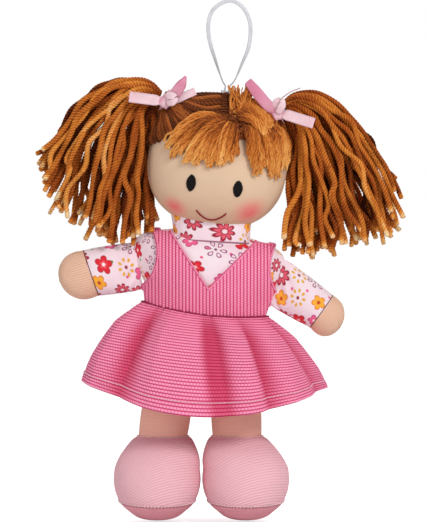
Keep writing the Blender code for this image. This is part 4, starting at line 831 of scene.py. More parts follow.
rng = np.random.default_rng(36)
root_from = np.stack([rng.uniform(0.03, 0.12, 9), rng.uniform(0.60, 0.76, 9)], axis=1)
root_to = root_from + np.stack([rng.uniform(0.07, 0.13, 9), rng.uniform(-0.04, 0.05, 9)], axis=1)
root_flat = between(root_from[:, None], root_to[:, None], np.linspace(0.0, 1.0, 9)[:, None]) * FACE_HALF
root_bow = 0.0034 + 0.0016 * np.sin(np.linspace(0.0, math.pi, 9))[None, :]
places, normals = on_face(root_flat[..., 0], root_flat[..., 1], np.broadcast_to(root_bow, (9, 9)))
piece("fringe_root_stitches", *threads(places, normals, 0.00045), brown_thread, "head", "brown_thread")


# Bunches: thick three-ply yarn gathered through each binding, arching out of it and falling in a fan
# to uneven cut ends. Each bunch swings as one on its binding.
BUNCH_GUIDES = {
    "left": (
        ((0, 0), (-2.5, 5.0), (-8.5, 8.4), (-22.5, 8.6), (-33.3, 3.3), (-43.7, -6.6), (-54.2, -19.9),
            (-62.5, -31.5), (-69.5, -41.0)),
        ((0, 0), (-4, 4.2), (-12, 4.6), (-25.2, 0.2), (-39.7, -14.1), (-49.5, -30.5), (-57.0, -48.0),
            (-62.5, -62.5)),
        ((0, 0), (-4, 1.8), (-10, 0.0), (-19.4, -7.0), (-29.2, -25.7), (-36.6, -48.9), (-44.5, -78.5)),
        ((0, 0), (-3, 0), (-8, -5.0), (-13.4, -15.0), (-18.5, -33.5), (-22.6, -60.5), (-27.2, -87.0)),
        ((0, 0), (-2.5, -2), (-5.0, -8.3), (-6.5, -20.5), (-7.5, -36.5), (-9.3, -60.5), (-12.3, -88.0)),
        ((0, 0), (1.2, -3.5), (2.4, -10.5), (0.3, -20.0), (-2.4, -36.0), (-1.5, -56.7), (0.4, -77.0)),
    ),
    "right": (
        ((0, 0), (2, 4.5), (7.0, 7.4), (16.3, 7.8), (26.7, 2.6), (35.2, -5.6), (43.0, -14.3), (49.8, -24.1),
            (56.6, -35.6), (66.0, -57.0)),
        ((0, 0), (4, 4), (10, 4), (20.4, -2.1), (33, -18.3), (43.3, -37.9), (51.9, -57), (59.6, -78.8)),
        ((0, 0), (3.5, 2), (7.5, -0.5), (13.8, -7.7), (23.5, -25.1), (31.1, -45.4), (36.9, -62.8),
            (40.6, -80.8)),
        ((0, 0), (2.5, 0), (5.0, -3.0), (9.0, -9.7), (14.0, -26.1), (18.7, -48.3), (21.8, -68.6),
            (23.0, -86.3)),
        ((0, 0), (2.0, -1.5), (3.5, -6.7), (5.5, -14.0), (6.9, -27.1), (7.7, -48.3), (8.4, -68.6),
            (9.0, -88.2)),
        ((0, 0), (-0.6, -3.0), (-1.3, -8.7), (-0.2, -16.0), (1.2, -26.1), (0.8, -47.3), (-2.4, -67.6),
            (-4.6, -82.5)),
    ),
}
BUNCH_ROOT = {"left": np.array([-0.04443, 0.0, -0.05378]), "right": np.array([0.03475, 0.0, -0.06112])}
BUNCH_STRANDS = (17, 19, 18, 19, 17)
# painted shade: the middle layers, deep inside each bunch, have lower tones and so darker strands
LAYER_SHADE = (0.60, 0.34, 0.06, 0.34, 0.56)
BUNCH_WANDER = np.array([0.0013, 0.0012, 0.0013])
BUNCH_DEPTHS = (0.0036, 0.0118)
wool_bunch = wool("golden_wool", dye(234, 150, 60), dye(168, 80, 26), dye(62, 14, 6), fluff=0.22)
for side in SIDES:
    rng = draws(41, side)
    guides = np.stack([route(np.array(one) * 0.001, 40) for one in BUNCH_GUIDES[side]])
    levels = np.linspace(-1.0, 1.0, len(BUNCH_STRANDS))
    fan = np.concatenate([(np.arange(n) + rng.uniform(0.1, 0.9, n)) / n for n in BUNCH_STRANDS])
    depth = np.concatenate([np.full(n, level) + rng.normal(0.0, 0.10, n) for n, level in zip(BUNCH_STRANDS, levels)])
    count = len(fan)
    crossing = rng.normal(0.0, 0.035, count) + (rng.uniform(0, 1, count) < 0.16) * rng.normal(0.0, 0.13, count)
    fan_end = np.clip(fan + crossing, 0.0, 1.0)
    depth = depth * np.sqrt(np.clip(1.0 - np.abs(2.0 * fan - 1.0) ** 4 * 0.75, 0.0, 1.0))
    steps = np.linspace(0.0, 1.0, 112)
    reach = np.where(np.abs(depth) > 0.35, rng.uniform(0.88, 1.0, count), rng.uniform(0.80, 0.97, count))
    ways = []
    for shares in (fan, fan_end):
        flat = spline(guides, shares * (len(guides) - 1))
        ways.append(np.stack([spline(one, steps * share * 39.0) for one, share in zip(flat, reach)]))
    flat = between(*ways, (steps * steps * (3.0 - 2.0 * steps))[None, :, None])
    way = tie_place(side)[1]
    across = np.array([-way[2], way[0]]) * SIGN[side]
    swell = np.clip(steps * 1.9, 0.0, 1.0) ** 0.6
    settle = ((1.0 - np.clip(steps * 5.0, 0.0, 1.0)) ** 2)[None, :, None]
    flat = flat + ((0.5 - fan)[:, None, None] * 0.0062 * settle) * across
    flat = flat - (way[[0, 2]] * 0.0030)[None, None] * settle
    wander = rng.normal(0.0, 1.0, (count, 8, 3)) * BUNCH_WANDER * np.linspace(0.5, 1.5, 8)[:, None]
    wander[:, 0] = 0.0
    drift = np.stack([spline(one, steps * 7.0) for one in wander])
    inner = np.clip((fan[:, None] - 0.80) / 0.20, 0.0, 1.0)
    back = 0.0019 * swell + 0.0085 * inner * np.clip(steps * 2.5, 0.0, 1.0)
    deep = depth[:, None] * (BUNCH_DEPTHS[0] + (BUNCH_DEPTHS[1] - BUNCH_DEPTHS[0]) * swell)[None, :] + back
    paths = np.stack([flat[..., 0], deep, flat[..., 1]], axis=2) + drift + BUNCH_ROOT[side]
    grid, chart = yarn(paths, -BACK, YARN_RADIUS * rng.uniform(0.90, 1.08, count), rng, sides=12)
    # painted shade inside the bunch by layer, with a random spread of tone
    tones = np.repeat(LAYER_SHADE, BUNCH_STRANDS) + rng.normal(0.0, 0.24, count)
    lit = np.concatenate([[0.0], np.clip((steps - 0.05) * 4.0, 0.0, 1.0), [1.0]]) * 0.30 - 0.22
    frayed = 0.75 * np.clip((np.concatenate([[0.0], steps, [1.0]]) - 0.955) / 0.03, 0.0, 1.0)
    tones = tones[:, None] + lit[None, :] + frayed[None, :]
    for name, chosen, nodes in (("front", depth < 0.1, [f"ponytail_{side}"]), ("rear", depth >= 0.1, [])):
        piece(f"yarn_bunch_{side}_{name}", grid[chosen], chart[chosen], wool_bunch, f"ponytail_{side}", "brown_yarn",
              *nodes, tones=tones[chosen])


# Bindings: where the drawn yarn leaves the skull it is pulled into a short tight stub and wound with
# a few turns of the same yarn.
TIE_RADIUS = 0.0056
STUB_STRANDS = 14
STUB_ALONG = np.array([-0.0080, -0.0050, -0.0016, 0.0006, 0.0026])
STUB_REACH = np.array([1.35, 1.05, 0.80, 0.72, 0.78])
COIL_TURNS = 3.0


def round_tie(way, turn):
    """Directions round a binding that points along way, at angles from its lower edge towards the back."""
    return np.cos(turn)[:, None] * np.array([-way[2], 0.0, way[0]]) + np.sin(turn)[:, None] * BACK


for side in SIDES:
    rng = draws(51, side)
    middle, way = tie_place(side)
    ring = round_tie(way, np.arange(STUB_STRANDS) / STUB_STRANDS * TAU)
    knots = middle + way * STUB_ALONG[None, :, None] + ring[:, None] * (TIE_RADIUS * STUB_REACH)[None, :, None]
    paths = np.stack([spline(one, np.linspace(0, 4, 16)) for one in knots])
    grid, chart = yarn(paths, ring[:, None], YARN_RADIUS * 0.9, rng)
    wound = np.linspace(0.0, COIL_TURNS * TAU, 90)
    coil = middle + way * (-0.0010 + 0.0026 * wound[:, None] / (COIL_TURNS * TAU))
    coil = coil + round_tie(way, wound) * TIE_RADIUS * 0.98
    coil_grid, coil_chart = yarn(coil[None], np.broadcast_to(way, coil[None].shape), 0.00085, rng, pitch=0.004)
    piece(f"binding_{side}", [*grid, *coil_grid], [*chart, *coil_chart], wool_cap, "head", "brown_yarn",
          f"hair_tie_{side}", tones=rng.uniform(0.0, 0.6, STUB_STRANDS + 1))


# Bows: pale pink satin ribbon, tied round each binding, with a soft knot, one standing loop and two
# tails cut straight.
RIBBON_WIDTH = 0.0064
RIBBON_THICKNESS = 0.00035
BOW_LENGTH = 0.0230
BOW_FRONT = 0.0103
KNOT_HALF = np.array([0.0036, 0.0030, 0.0042])
KNOT_TURN = {"left": math.radians(32.0), "right": math.radians(-28.0)}
BOW_PATHS = {
    "left": {
        "loop": ((0.0, 0.0, 0.0), (0.20, 0.16, 0.10), (0.38, 0.40, 0.14), (0.50, 0.62, 0.20),
            (0.40, 0.42, 0.28), (0.22, 0.18, 0.24),
                 (0.0, 0.0, 0.10)),
        "tail": ((0.0, 0.0, 0.0), (-0.30, 0.03, 0.14), (-0.60, 0.07, 0.22), (-0.92, 0.11, 0.24)),
        "short_tail": ((0.0, 0.0, 0.0), (0.28, 0.05, 0.10), (0.50, 0.15, 0.14), (0.74, 0.25, 0.14)),
        "fold": ((0.0, 0.0, 0.06), (0.02, 0.10, 0.20), (0.12, 0.15, 0.27), (0.22, 0.08, 0.28),
            (0.16, -0.02, 0.27), (0.02, -0.06, 0.18)),
    },
    "right": {
        "loop": ((0.0, 0.0, 0.0), (-0.22, 0.18, 0.10), (-0.46, 0.46, 0.14), (-0.74, 0.80, 0.20),
            (-0.50, 0.50, 0.30), (-0.24, 0.20, 0.26),
                 (0.0, 0.0, 0.10)),
        "tail": ((0.0, 0.0, 0.0), (0.28, -0.06, 0.16), (0.60, -0.16, 0.26), (0.92, -0.26, 0.30)),
        "short_tail": ((0.0, 0.0, 0.0), (0.06, 0.28, 0.08), (0.30, 0.50, 0.12), (0.58, 0.62, 0.12)),
        "fold": ((0.0, 0.0, 0.06), (-0.04, 0.14, 0.18), (-0.01, 0.27, 0.26), (0.10, 0.29, 0.28),
            (0.11, 0.16, 0.28), (0.02, 0.0, 0.20)),
    },
}
LEAF_TIP = {"left": 0.30, "right": 0.78}
COLLAR_RADIUS = 0.0068
pink_satin = satin("pale_pink_satin", dye(250, 210, 218), RIBBON_WIDTH / 2.0, crease_shade=dye(200, 92, 132))
for side, paths in BOW_PATHS.items():
    middle, way = tie_place(side)
    centre = middle - BACK * BOW_FRONT
    grids, charts, tones = [], [], []
    for name, shares in paths.items():
        line = route(centre + np.array([(across, -forward, up) for across, up, forward in shares]) * BOW_LENGTH, 70)
        away = np.linalg.norm(line - centre, axis=1)
        far = line[np.argmax(away)] - centre
        edge_on = side == "right" and name == "short_tail"
        wide = np.broadcast_to([0.12, 1.0, 0.0] if edge_on else [-far[2], 0.0, far[0]], line.shape)
        pinch = np.minimum(1.0, 0.42 + 0.58 * away / 0.0070)
        apex = np.exp(-((away - away.max()) / (0.20 * away.max())) ** 2) if name == "loop" else np.zeros(70)
        narrow = pinch * (1.0 - (1.0 - LEAF_TIP[side]) * apex) * (0.72 if name in ("short_tail", "fold") else 1.0)
        grid, chart = band(line, wide, RIBBON_WIDTH, RIBBON_THICKNESS, cup=0.0004 + 0.0011 * (1.0 - pinch))
        centreline = ends_twice(line)[:, None]
        grids.append(centreline + (grid - centreline) * ends_twice(narrow)[:, None, None])
        charts.append(chart)
        # painted shade: the tone is low where the ribbon is pinched at the knot and over most of the loop, which take
        # the crease shade there
        open_share = np.clip((pinch - 0.45) * 2.2, 0.0, 1.0) * (0.26 if name == "loop" else 1.0)
        tones.append(ends_twice(open_share + 0.12 * np.sin(away / 0.0045)))
    turn = np.linspace(0.0, TAU, 61)
    bulge = np.linspace(-1.0, 1.0, 21)[:, None]
    profile = np.maximum(0.0, 1.0 - np.abs(bulge) ** 5.0) ** 0.4 * (1.0 + 0.035 * np.cos(bulge * 8.0))
    knot = layers(bulge * KNOT_HALF[0], -squared(np.cos(turn), 0.62) * KNOT_HALF[1] * profile,
                  squared(np.sin(turn), 0.62) * KNOT_HALF[2] * profile)
    grids.append(centre + knot @ rolled(KNOT_TURN[side]).T)
    # painted shade towards both sides of the knot
    tones.append(0.80 - 0.6 * bulge[:, 0] ** 2)
    charts.append(layers(bulge * 0.0032, turn * 0.0036))
    collar = middle + round_tie(way, np.linspace(0.0, TAU, 60)) * COLLAR_RADIUS
    grid, chart = band(collar, np.broadcast_to(way, collar.shape), 0.0036, 0.0004)
    piece(f"satin_bow_{side}", [*grids, grid], [*charts, chart], pink_satin, "head", "pink_satin", f"bow_{side}",
          tones=[*tones, 0.5])


# Crown tack: white stitches over both ends of the hanging ribbon, which they hold to the cap. The
# ends themselves go down between the yarns.
tack_x = np.linspace(-0.0028, 0.0028, 6)[:, None]
tack_steps = np.linspace(-1.0, 1.0, 7)
tack = from_head(layers(tack_x, tack_steps * 0.0017, 0.0407 + 0.0012 * (1.0 - tack_steps ** 2)))
grids, charts = (list(values) for values in threads(tack, UP, 0.00045))
for place, lean in ((loop_path[0], 0.0012), (loop_path[-1], -0.0012)):
    ends = np.linspace(0.0, 1.0, 12)[:, None] * np.array([lean, -0.0004, -0.0040]) + place + UP * 0.0003
    grid, chart = band(ends, np.broadcast_to([0.25, 0.97, 0.0], ends.shape), LOOP_WIDTH, LOOP_THICKNESS)
    grids.append(grid)
    charts.append(chart)
piece("crown_tack", grids, charts, white_satin, "head", "white_ribbon", "loop_stitch")


# Neck and body: white cotton printed with small bright flowers. The neck is a stuffed band sewn into
# the shoulders, and the body a stuffed pillow, flat at its side seams.
NECK_PIVOT = np.array([-0.0107, 0.0, -0.1380])
NECK_HALF = (0.0238, 0.0112)
HIP = np.array([-0.0150, 0.0, -0.1960])
NECK_HEIGHT = 0.0230
NECK_SLOPE = 0.06
TORSO_HEIGHT = 0.0628
TORSO_HALF = (0.0436, 0.0190)
TORSO_LEAN = 0.06
TORSO_SLOPE = 0.12
TORSO_POWER = 1.6
PRINT_TURN = 0.42
PRINT_CELL = 0.0128
TORSO_KNOTS = np.array([
    (0.00, 0.0, 0.66, 0.06), (0.14, 0.15, 0.70, 0.30), (0.28, 0.5, 0.76, 0.70), (0.43, 0.9, 0.81, 0.95),
        (0.56, 1.0, 0.905, 1.00),
    (0.70, 1.0, 0.975, 0.96), (0.82, 1.0, 1.00, 0.83), (0.905, 1.0, 0.91, 0.61), (0.96, 1.0, 0.70, 0.36),
        (1.00, 1.0, 0.42, 0.10),
])
TORSO_SHARES = spline(TORSO_KNOTS, np.linspace(0, 9, 60))
TORSO_SHARES = TORSO_SHARES[np.argsort(TORSO_SHARES[:, 0])]
# for each sort of flower: its range of chance, its layers of petals (count, share of the size, waist,
# colour) and the discs at its middle (radius, colour)
FLOWER_SORTS = (
    (-1.0, 0.24, ((5.0, 1.0, 0.55, (176, 20, 44)), (5.0, 0.88, 0.52, (218, 34, 50)),
        (5.0, 0.45, 0.4, (236, 84, 92))),
     ((0.075, (250, 236, 236)),)),
    (0.24, 0.46, ((8.0, 1.0, 0.52, (150, 24, 46)), (8.0, 0.78, 0.36, (224, 88, 108))),
     ((0.15, (160, 26, 48)), (0.10, (246, 220, 226)))),
    (0.46, 0.60, ((5.0, 0.82, 0.58, (226, 128, 30)), (5.0, 0.68, 0.55, (246, 172, 52))),
        ((0.09, (196, 70, 40)),)),
    (0.60, 0.72, ((5.0, 0.80, 0.60, (184, 44, 100)), (5.0, 0.68, 0.58, (236, 96, 146))),
        ((0.08, (250, 224, 232)),)),
)


def flower_group():
    """A scattered print of small flowers over a flat chart, in six sorts picked by chance for each cell."""
    group, given, result = new_group("flower_print", (("Chart", "Vector"), ("Cell", "Float", 0.0105)),
                                     (("Color", "Color"),))
    do = maths(group)

    def inside(distance, edge, soft=0.025):
        """One within the edge and nothing outside it, with a soft printed border."""
        return node(group, "MapRange", Value=do("SUBTRACT", distance, edge), From_Min=-soft, From_Max=soft, To_Min=1.0,
                    To_Max=0.0).outputs[0]

    def over(below, colour, *masks):
        """A colour printed over what is there, where every mask is one."""
        mask = masks[0] if len(masks) == 1 else do("MULTIPLY", *masks)
        return blended(group, mask, below, dye(*colour))

    def cells(scale, shift, randomness):
        """Centres of scattered cells: distance and angle from the nearest, and its chance values."""
        moved = node(group, "VectorMath", {"operation": "ADD"}, i0=given["Chart"], i1=shift)
        spaced = node(group, "VectorMath", {"operation": "SCALE"}, i0=moved.outputs[0],
                      Scale=do("DIVIDE", scale, given["Cell"])).outputs[0]
        found = node(group, "TexVoronoi", {"voronoi_dimensions": "2D", "feature": "F1"}, Vector=spaced, Scale=1.0,
                     Randomness=randomness).outputs
        local = node(group, "VectorMath", {"operation": "SUBTRACT"}, i0=spaced, i1=found["Position"])
        parts = node(group, "SeparateXYZ", Vector=local.outputs[0]).outputs
        chance = node(group, "SeparateColor", Color=found["Color"]).outputs
        spin = do("ADD", do("ARCTAN2", parts["Y"], parts["X"]), do("MULTIPLY", chance[2], TAU))
        return found["Distance"], spin, chance[0], chance[1]

    def petals(distance, angle, count, reach, waist):
        """Distance to the nearest petal's edge: the reach times a lobed wave of the angle."""
        lobes = do("POWER", do("ABSOLUTE", do("COSINE", do("MULTIPLY", angle, count / 2.0))), 0.7)
        return inside(distance, do("MULTIPLY", reach, do("MULTIPLY_ADD", lobes, 1.0 - waist, waist)))

    def ring_of(distance, angle, count, at, long, wide):
        """Ovals set round a ring: how far a place is from the middle of its own oval, in half-widths."""
        turn = do("FRACT", do("MULTIPLY_ADD", angle, count / TAU, 10.5))
        sideways = do("MULTIPLY", do("SUBTRACT", turn, 0.5), TAU / count * at / wide)
        outwards = do("DIVIDE", do("SUBTRACT", distance, at), long)
        return do("SQRT", do("ADD", do("MULTIPLY", sideways, sideways), do("MULTIPLY", outwards, outwards)))

    def sort_of(chance, low, high):
        """One where a cell's chance lies between two values."""
        return do("MULTIPLY", do("GREATER_THAN", chance, low), do("LESS_THAN", chance, high))

    ground = node(group, "TexNoise", {"noise_dimensions": "2D"}, Vector=given["Chart"], Scale=60.0)
    colour = over(dye(244, 230, 234), (238, 208, 220), ground.outputs[0])
    far, spin, kind, _ = cells(2.3, (0.31, 0.17, 0.0), 0.9)
    leaf = inside(ring_of(far, spin, 1.0, 0.12, 0.22, 0.11), 1.0, 0.15)
    colour = over(colour, (92, 148, 62), leaf, sort_of(kind, 0.90, 0.96))
    colour = over(colour, (232, 96, 140), inside(far, 0.16), sort_of(kind, 0.80, 0.88))

    far, spin, kind, extra = cells(1.0, (7.3, 4.1, 0.0), 0.30)
    size = do("MULTIPLY_ADD", extra, 0.07, 0.395)
    for low, high, rounds, discs in FLOWER_SORTS:
        chosen = sort_of(kind, low, high)
        for count, share, waist, dyed in rounds:
            colour = over(colour, dyed, petals(far, spin, count, do("MULTIPLY", size, share), waist), chosen)
        for radius, dyed in discs:
            colour = over(colour, dyed, inside(far, radius), chosen)

    dots = sort_of(kind, 0.72, 0.86)
    dot = inside(ring_of(far, spin, 8.0, 0.31, 0.095, 0.062), 1.0, 0.12)
    colour = over(colour, (224, 172, 60), dot, dots)
    colour = over(colour, (140, 34, 48), inside(far, 0.075), dots)

    lines = sort_of(kind, 0.86, 2.0)
    oval = ring_of(far, spin, 6.0, 0.30, 0.145, 0.090)
    outline = do("SUBTRACT", inside(oval, 1.0, 0.10), inside(oval, 0.58, 0.10))
    colour = over(colour, (146, 60, 112), outline, lines)
    colour = over(colour, (120, 50, 90), inside(far, 0.06), lines)
    group.links.new(colour, result["Color"])
    return group


def printed_cotton():
    """Smooth plain-weave cotton with the flower print, faint threads and small soft creases."""
    made, tree, shader = finish_of("flower_print_cotton", dye(240, 228, 236), 0.78, sheen=0.15, sheen_colour=WHITE)
    chart = chart_of(tree)
    turned = node(tree, "Mapping", Vector=chart, Rotation=(0.0, 0.0, PRINT_TURN))
    flowers = node(tree, "Group", {"node_tree": flower_group()}, Chart=turned.outputs[0], Cell=PRINT_CELL)
    colour = node(tree, "Group", TONE, Color=flowers.outputs[0], Amount=0.06).outputs[0]
    weave = node(tree, "Group", KNIT, Chart=chart, Rib=0.00045, Stitch=0.00045, Slant=0.0)
    crease = node(tree, "TexNoise", Vector=place_of(tree), Scale=120.0, Detail=3.0)
    both = maths(tree)("MULTIPLY_ADD", weave.outputs["Height"], 0.06, crease.outputs[0])
    dress(tree, shader, colour, both, 0.0007, 0.6)
    return made


def torso_at(height, column):
    """A column of the body's shares, read off at a share of its height."""
    return np.interp(height, TORSO_SHARES[:, 0], TORSO_SHARES[:, column])


def torso_ring(height, turn):
    """Places round the body at shares of its height: a lens section, swelling from the side seams, that leans."""
    height, turn = np.broadcast_arrays(height, turn)
    rise = height * TORSO_HEIGHT
    across = torso_at(height, 2) * TORSO_HALF[0] * np.cos(turn)
    depth = torso_at(height, 3) * TORSO_HALF[1] * squared(np.sin(turn), TORSO_POWER)
    lowered = torso_at(height, 1) * TORSO_SLOPE * across
    return np.stack([HIP[0] + TORSO_LEAN * rise + across, depth, HIP[2] + rise - lowered], axis=-1)


def closed(grid, chart, last=None):
    """The same skin with each open end gathered to the middle of its columns, up to the last one counted."""
    ends = (grid[:1] * 0 + grid[0, :last].mean(axis=0), grid[-1:] * 0 + grid[-1, :last].mean(axis=0))
    return [np.concatenate([ends[0], grid, ends[1]])], [ends_twice(chart)]


def neck_ring(turn, x_half, y_half):
    """A squared oval round the neck's middle line, as its two flat axes."""
    return x_half * squared(np.cos(turn), 0.8), y_half * squared(np.sin(turn), 0.8)


cotton = printed_cotton()
torso_up = np.linspace(0.0, 1.0, 90)[:, None]
torso_turn = np.linspace(0.0, TAU, 161)[None, :]
torso_chart = layers(torso_turn * 0.036 + 0.5, torso_up * 0.075)
piece("shirt_body", *closed(torso_ring(torso_up, torso_turn), torso_chart), cotton, "torso", "printed_cotton",
      "torso", fill=0.85)

neck_turn = np.linspace(0.0, TAU, 121)[None, :]
neck_up = np.linspace(0.0, 1.0, 40)[:, None]
neck_wide = 1.0 - 0.05 * np.sin(neck_up * math.pi) - 0.02 * (1.0 - neck_up)
pucker = 1.0 + 0.012 * np.sin(neck_turn * 23.0) * (neck_up ** 3 + (1.0 - neck_up) ** 3)
neck_deep = (np.minimum(1.0, 0.35 + neck_up * 3.2)) ** 0.5
neck_across, neck_depth = neck_ring(neck_turn, NECK_HALF[0] * neck_wide, NECK_HALF[1] * neck_deep)
neck_grid = layers(NECK_PIVOT[0] + neck_across * pucker, neck_depth * pucker,
                   NECK_PIVOT[2] - 0.0070 + NECK_HEIGHT * neck_up)
neck_grid[..., 2] -= (neck_grid[..., 0] - NECK_PIVOT[0]) * NECK_SLOPE
neck_chart = layers(neck_turn * 0.0185 + 0.9, neck_up * NECK_HEIGHT + 0.3)
piece("neck_band", *closed(neck_grid, neck_chart), cotton, "neck", "printed_cotton", "neck", fill=0.8)

# Painted shadow along the crease where the neck meets the body: a thin mauve ring at the seam.
seam_across, seam_depth = neck_ring(np.linspace(0.0, TAU, 181), NECK_HALF[0] - 0.0006, NECK_HALF[1] + 0.0002)
neck_line = layers(NECK_PIVOT[0] + seam_across, seam_depth, NECK_PIVOT[2] - 0.0004)
neck_line[:, 2] -= (neck_line[:, 0] - NECK_PIVOT[0]) * NECK_SLOPE
piece("neck_seam_shadow", *threads(neck_line[None], UP, 0.00042, 8),
      sewing_thread("neck_crease_shadow", dye(172, 112, 134), 0.7, 0.8), "neck", "printed_cotton")


# Arms: printed sleeves stuffed softly, flat where the shoulder seam crosses them so that they swing,
# with hands of ribbed peach knit sewn on at the wrist.
SHOULDER_TOP = {"left": (-0.0568, -0.1392), "right": (0.0325, -0.1490)}
SHOULDER_BOTTOM = {"left": (-0.0516, -0.1668), "right": (0.0234, -0.1758)}
WRIST_TOP = {"left": (-0.0850, -0.1438), "right": (0.0597, -0.1699)}
WRIST_BOTTOM = {"left": (-0.0761, -0.1700), "right": (0.0464, -0.1885)}
HAND_TIP = {"left": (-0.0990, -0.1620), "right": (0.0640, -0.1888)}
ARM_HALF_THICKNESS = 0.0106
PRINT_START = {"left": 0.13, "right": 0.71}
SLEEVE_SHARES = np.array([
    (-0.055, 0.80, 0.09), (0.0, 0.97, 0.18), (0.09, 1.00, 0.24), (0.22, 1.02, 0.43), (0.45, 1.03, 0.74),
        (0.72, 1.03, 0.95),
    (1.0, 1.0, 1.0), (1.03, 0.93, 0.92),
])
HAND_SHARES = np.array([(-0.03, 0.90, 0.90), (0.0, 0.99, 0.99), (0.30, 1.03, 0.99), (0.58, 0.94, 0.88),
    (0.82, 0.68, 0.66), (0.95, 0.36, 0.36),
                        (1.0, 0.0, 0.0)])


def fine_knit(name, colour, rib, stitch, deep=0.62, bump=0.00018, turned=False):
    """Stretched fine rib knit: light ribs with painted shade in the lines between them and small stitches along each.
    """
    made, tree, shader = finish_of(name, colour, 0.86, sheen=0.2, Specular_IOR_Level=0.2)
    knit = node(tree, "Group", KNIT, Chart=chart_of(tree, turned), Rib=rib, Stitch=stitch).outputs
    toned = node(tree, "Group", TONE, Color=colour, Amount=0.07).outputs[0]
    dress(tree, shader, blended(tree, knit["Shade"], shade(colour, deep), toned), knit["Height"], bump)
    return made


def lofted(middles, sides, thicks):
    """Closed skin round a line of middles: at each, an oval of half-width along sides and half-depth thick."""
    turn = np.linspace(0.0, TAU, 97)
    grid = middles[:, None] + sides[:, None] * np.cos(turn)[None, :, None]
    grid = grid + BACK * (thicks[:, None] * np.sin(turn))[..., None]
    return np.concatenate([grid[:1] * 0 + middles[0], grid, grid[-1:] * 0 + middles[-1]]), turn


peach_knit = fine_knit("peach_rib_knit", dye(246, 198, 170), 0.00125, 0.0009, deep=0.56, bump=0.0003)
wrist_thread = sewing_thread("tan_thread", dye(128, 84, 66), 0.7, 0.8)
for side in SIDES:
    high, low = (np.array([[x, 0.0, z] for x, z in (table[0][side], table[1][side])])
                 for table in ((SHOULDER_TOP, WRIST_TOP), (SHOULDER_BOTTOM, WRIST_BOTTOM)))
    middles, halves = (high + low) / 2.0, (high - low) / 2.0
    shares = spline(SLEEVE_SHARES, np.linspace(0, 7, 56))
    line = middles[0] + (middles[1] - middles[0]) * shares[:, :1]
    half = (halves[0] + (halves[1] - halves[0]) * shares[:, :1]) * shares[:, 1:2]
    grid, turn = lofted(line, half, shares[:, 2] * ARM_HALF_THICKNESS)
    along = ends_twice(shares[:, 0])[:, None]
    fold = np.exp(-((along - 0.16) / 0.10) ** 2) * 0.0006 * np.sin(turn * 9.0 + 1.0 + along * 14.0)
    grid[..., 1] += fold * squared(np.sin(turn), 0.5)
    length = np.linalg.norm(middles[1] - middles[0])
    chart = layers(turn * 0.0125 + PRINT_START[side], along * length * 1.1 + 0.2)
    piece(f"shirt_sleeve_{side}", [grid], [chart], cotton, f"arm_{side}", "printed_cotton", f"sleeve_{side}", fill=0.7)

    tip = np.array([HAND_TIP[side][0], 0.0, HAND_TIP[side][1]])
    shares = np.maximum(spline(HAND_SHARES, np.linspace(0, 6, 44)), np.array([-0.03, 0.0, 0.0]))
    line = middles[1] + (tip - middles[1]) * shares[:, :1]
    grid, turn = lofted(line, halves[1] * shares[:, 1:2], shares[:, 2] * ARM_HALF_THICKNESS)
    travelled = ends_twice(shares[:, 0])[:, None] * np.linalg.norm(tip - middles[1]) * 1.25
    piece(f"knit_hand_{side}", [grid], [layers(turn * 0.0120, travelled)], peach_knit, f"arm_{side}", "peach_knit",
          f"hand_{side}", fill=0.85)
    wrist = (middles[1] + halves[1] * 1.005 * np.cos(turn)[:, None]
             + BACK * (ARM_HALF_THICKNESS * 1.005 * np.sin(turn))[:, None])
    piece(f"wrist_seam_{side}", *threads(wrist[None], unit(wrist - middles[1])[None], 0.00028), wrist_thread,
          f"arm_{side}", "peach_knit")


# Hips and legs: a narrow strip of the printed cotton joins both legs to the body, flat so that the
# doll sits, and the legs are tubes of peach knit.
LEG_TOP_X = {"left": -0.0316, "right": 0.0021}
ANKLE_X = {"left": -0.0389, "right": 0.0041}
ANKLE_Z = -0.2517
LEG_HALF = (0.0146, 0.0132)
LEG_SHARES = np.array([
    (0.045, 0.80, 0.08), (0.07, 0.87, 0.14), (0.12, 0.90, 0.25), (0.22, 0.92, 0.43), (0.38, 0.94, 0.72),
        (0.58, 0.97, 0.95),
    (0.80, 1.0, 1.0), (1.0, 0.97, 0.98), (1.02, 0.92, 0.93),
])
strip_line = layers(np.linspace(HIP[0] - 0.0298, HIP[0] + 0.0298, 40), 0.0, HIP[2])
piece("hip_strip", *threads(strip_line[None], UP, 0.0023, 16), cotton, "hips", "printed_cotton", "hip_seam")

leg_knit = fine_knit("peach_leg_knit", dye(255, 194, 174), 0.00110, 0.0008, deep=0.64, turned=True)
for side in SIDES:
    top, ankle = np.array([LEG_TOP_X[side], 0.0, HIP[2]]), np.array([ANKLE_X[side], 0.0, ANKLE_Z])
    shares = spline(LEG_SHARES, np.linspace(0, 8, 70))
    half = np.array([1.0, 0.0, 0.0]) * (shares[:, 1:2] * LEG_HALF[0])
    grid, turn = lofted(top + (ankle - top) * shares[:, :1], half, shares[:, 2] * LEG_HALF[1])
    chart = layers(turn * 0.0140, ends_twice(shares[:, 0])[:, None] * 0.0557)
    piece(f"knit_leg_{side}", [grid], [chart], leg_knit, f"leg_{side}", "peach_knit", f"leg_{side}", fill=0.9)


# Feet: round stuffed bulbs of light pink knit that point forward, each closed below by a deeper pink
# sole panel, with a line of pale stitches showing at both seams.
FOOT_X = {"left": -0.0422, "right": 0.0091}
FOOT_HALF_WIDTH = 0.0252
FOOT_LENGTH = 0.0560
FOOT_HEEL_BACK = 0.0165
FOOT_HEIGHT = 0.0363
SOLE_HEIGHT = 0.0121
FOOT_POWER = 0.95
FOOT_DIP = 0.0022
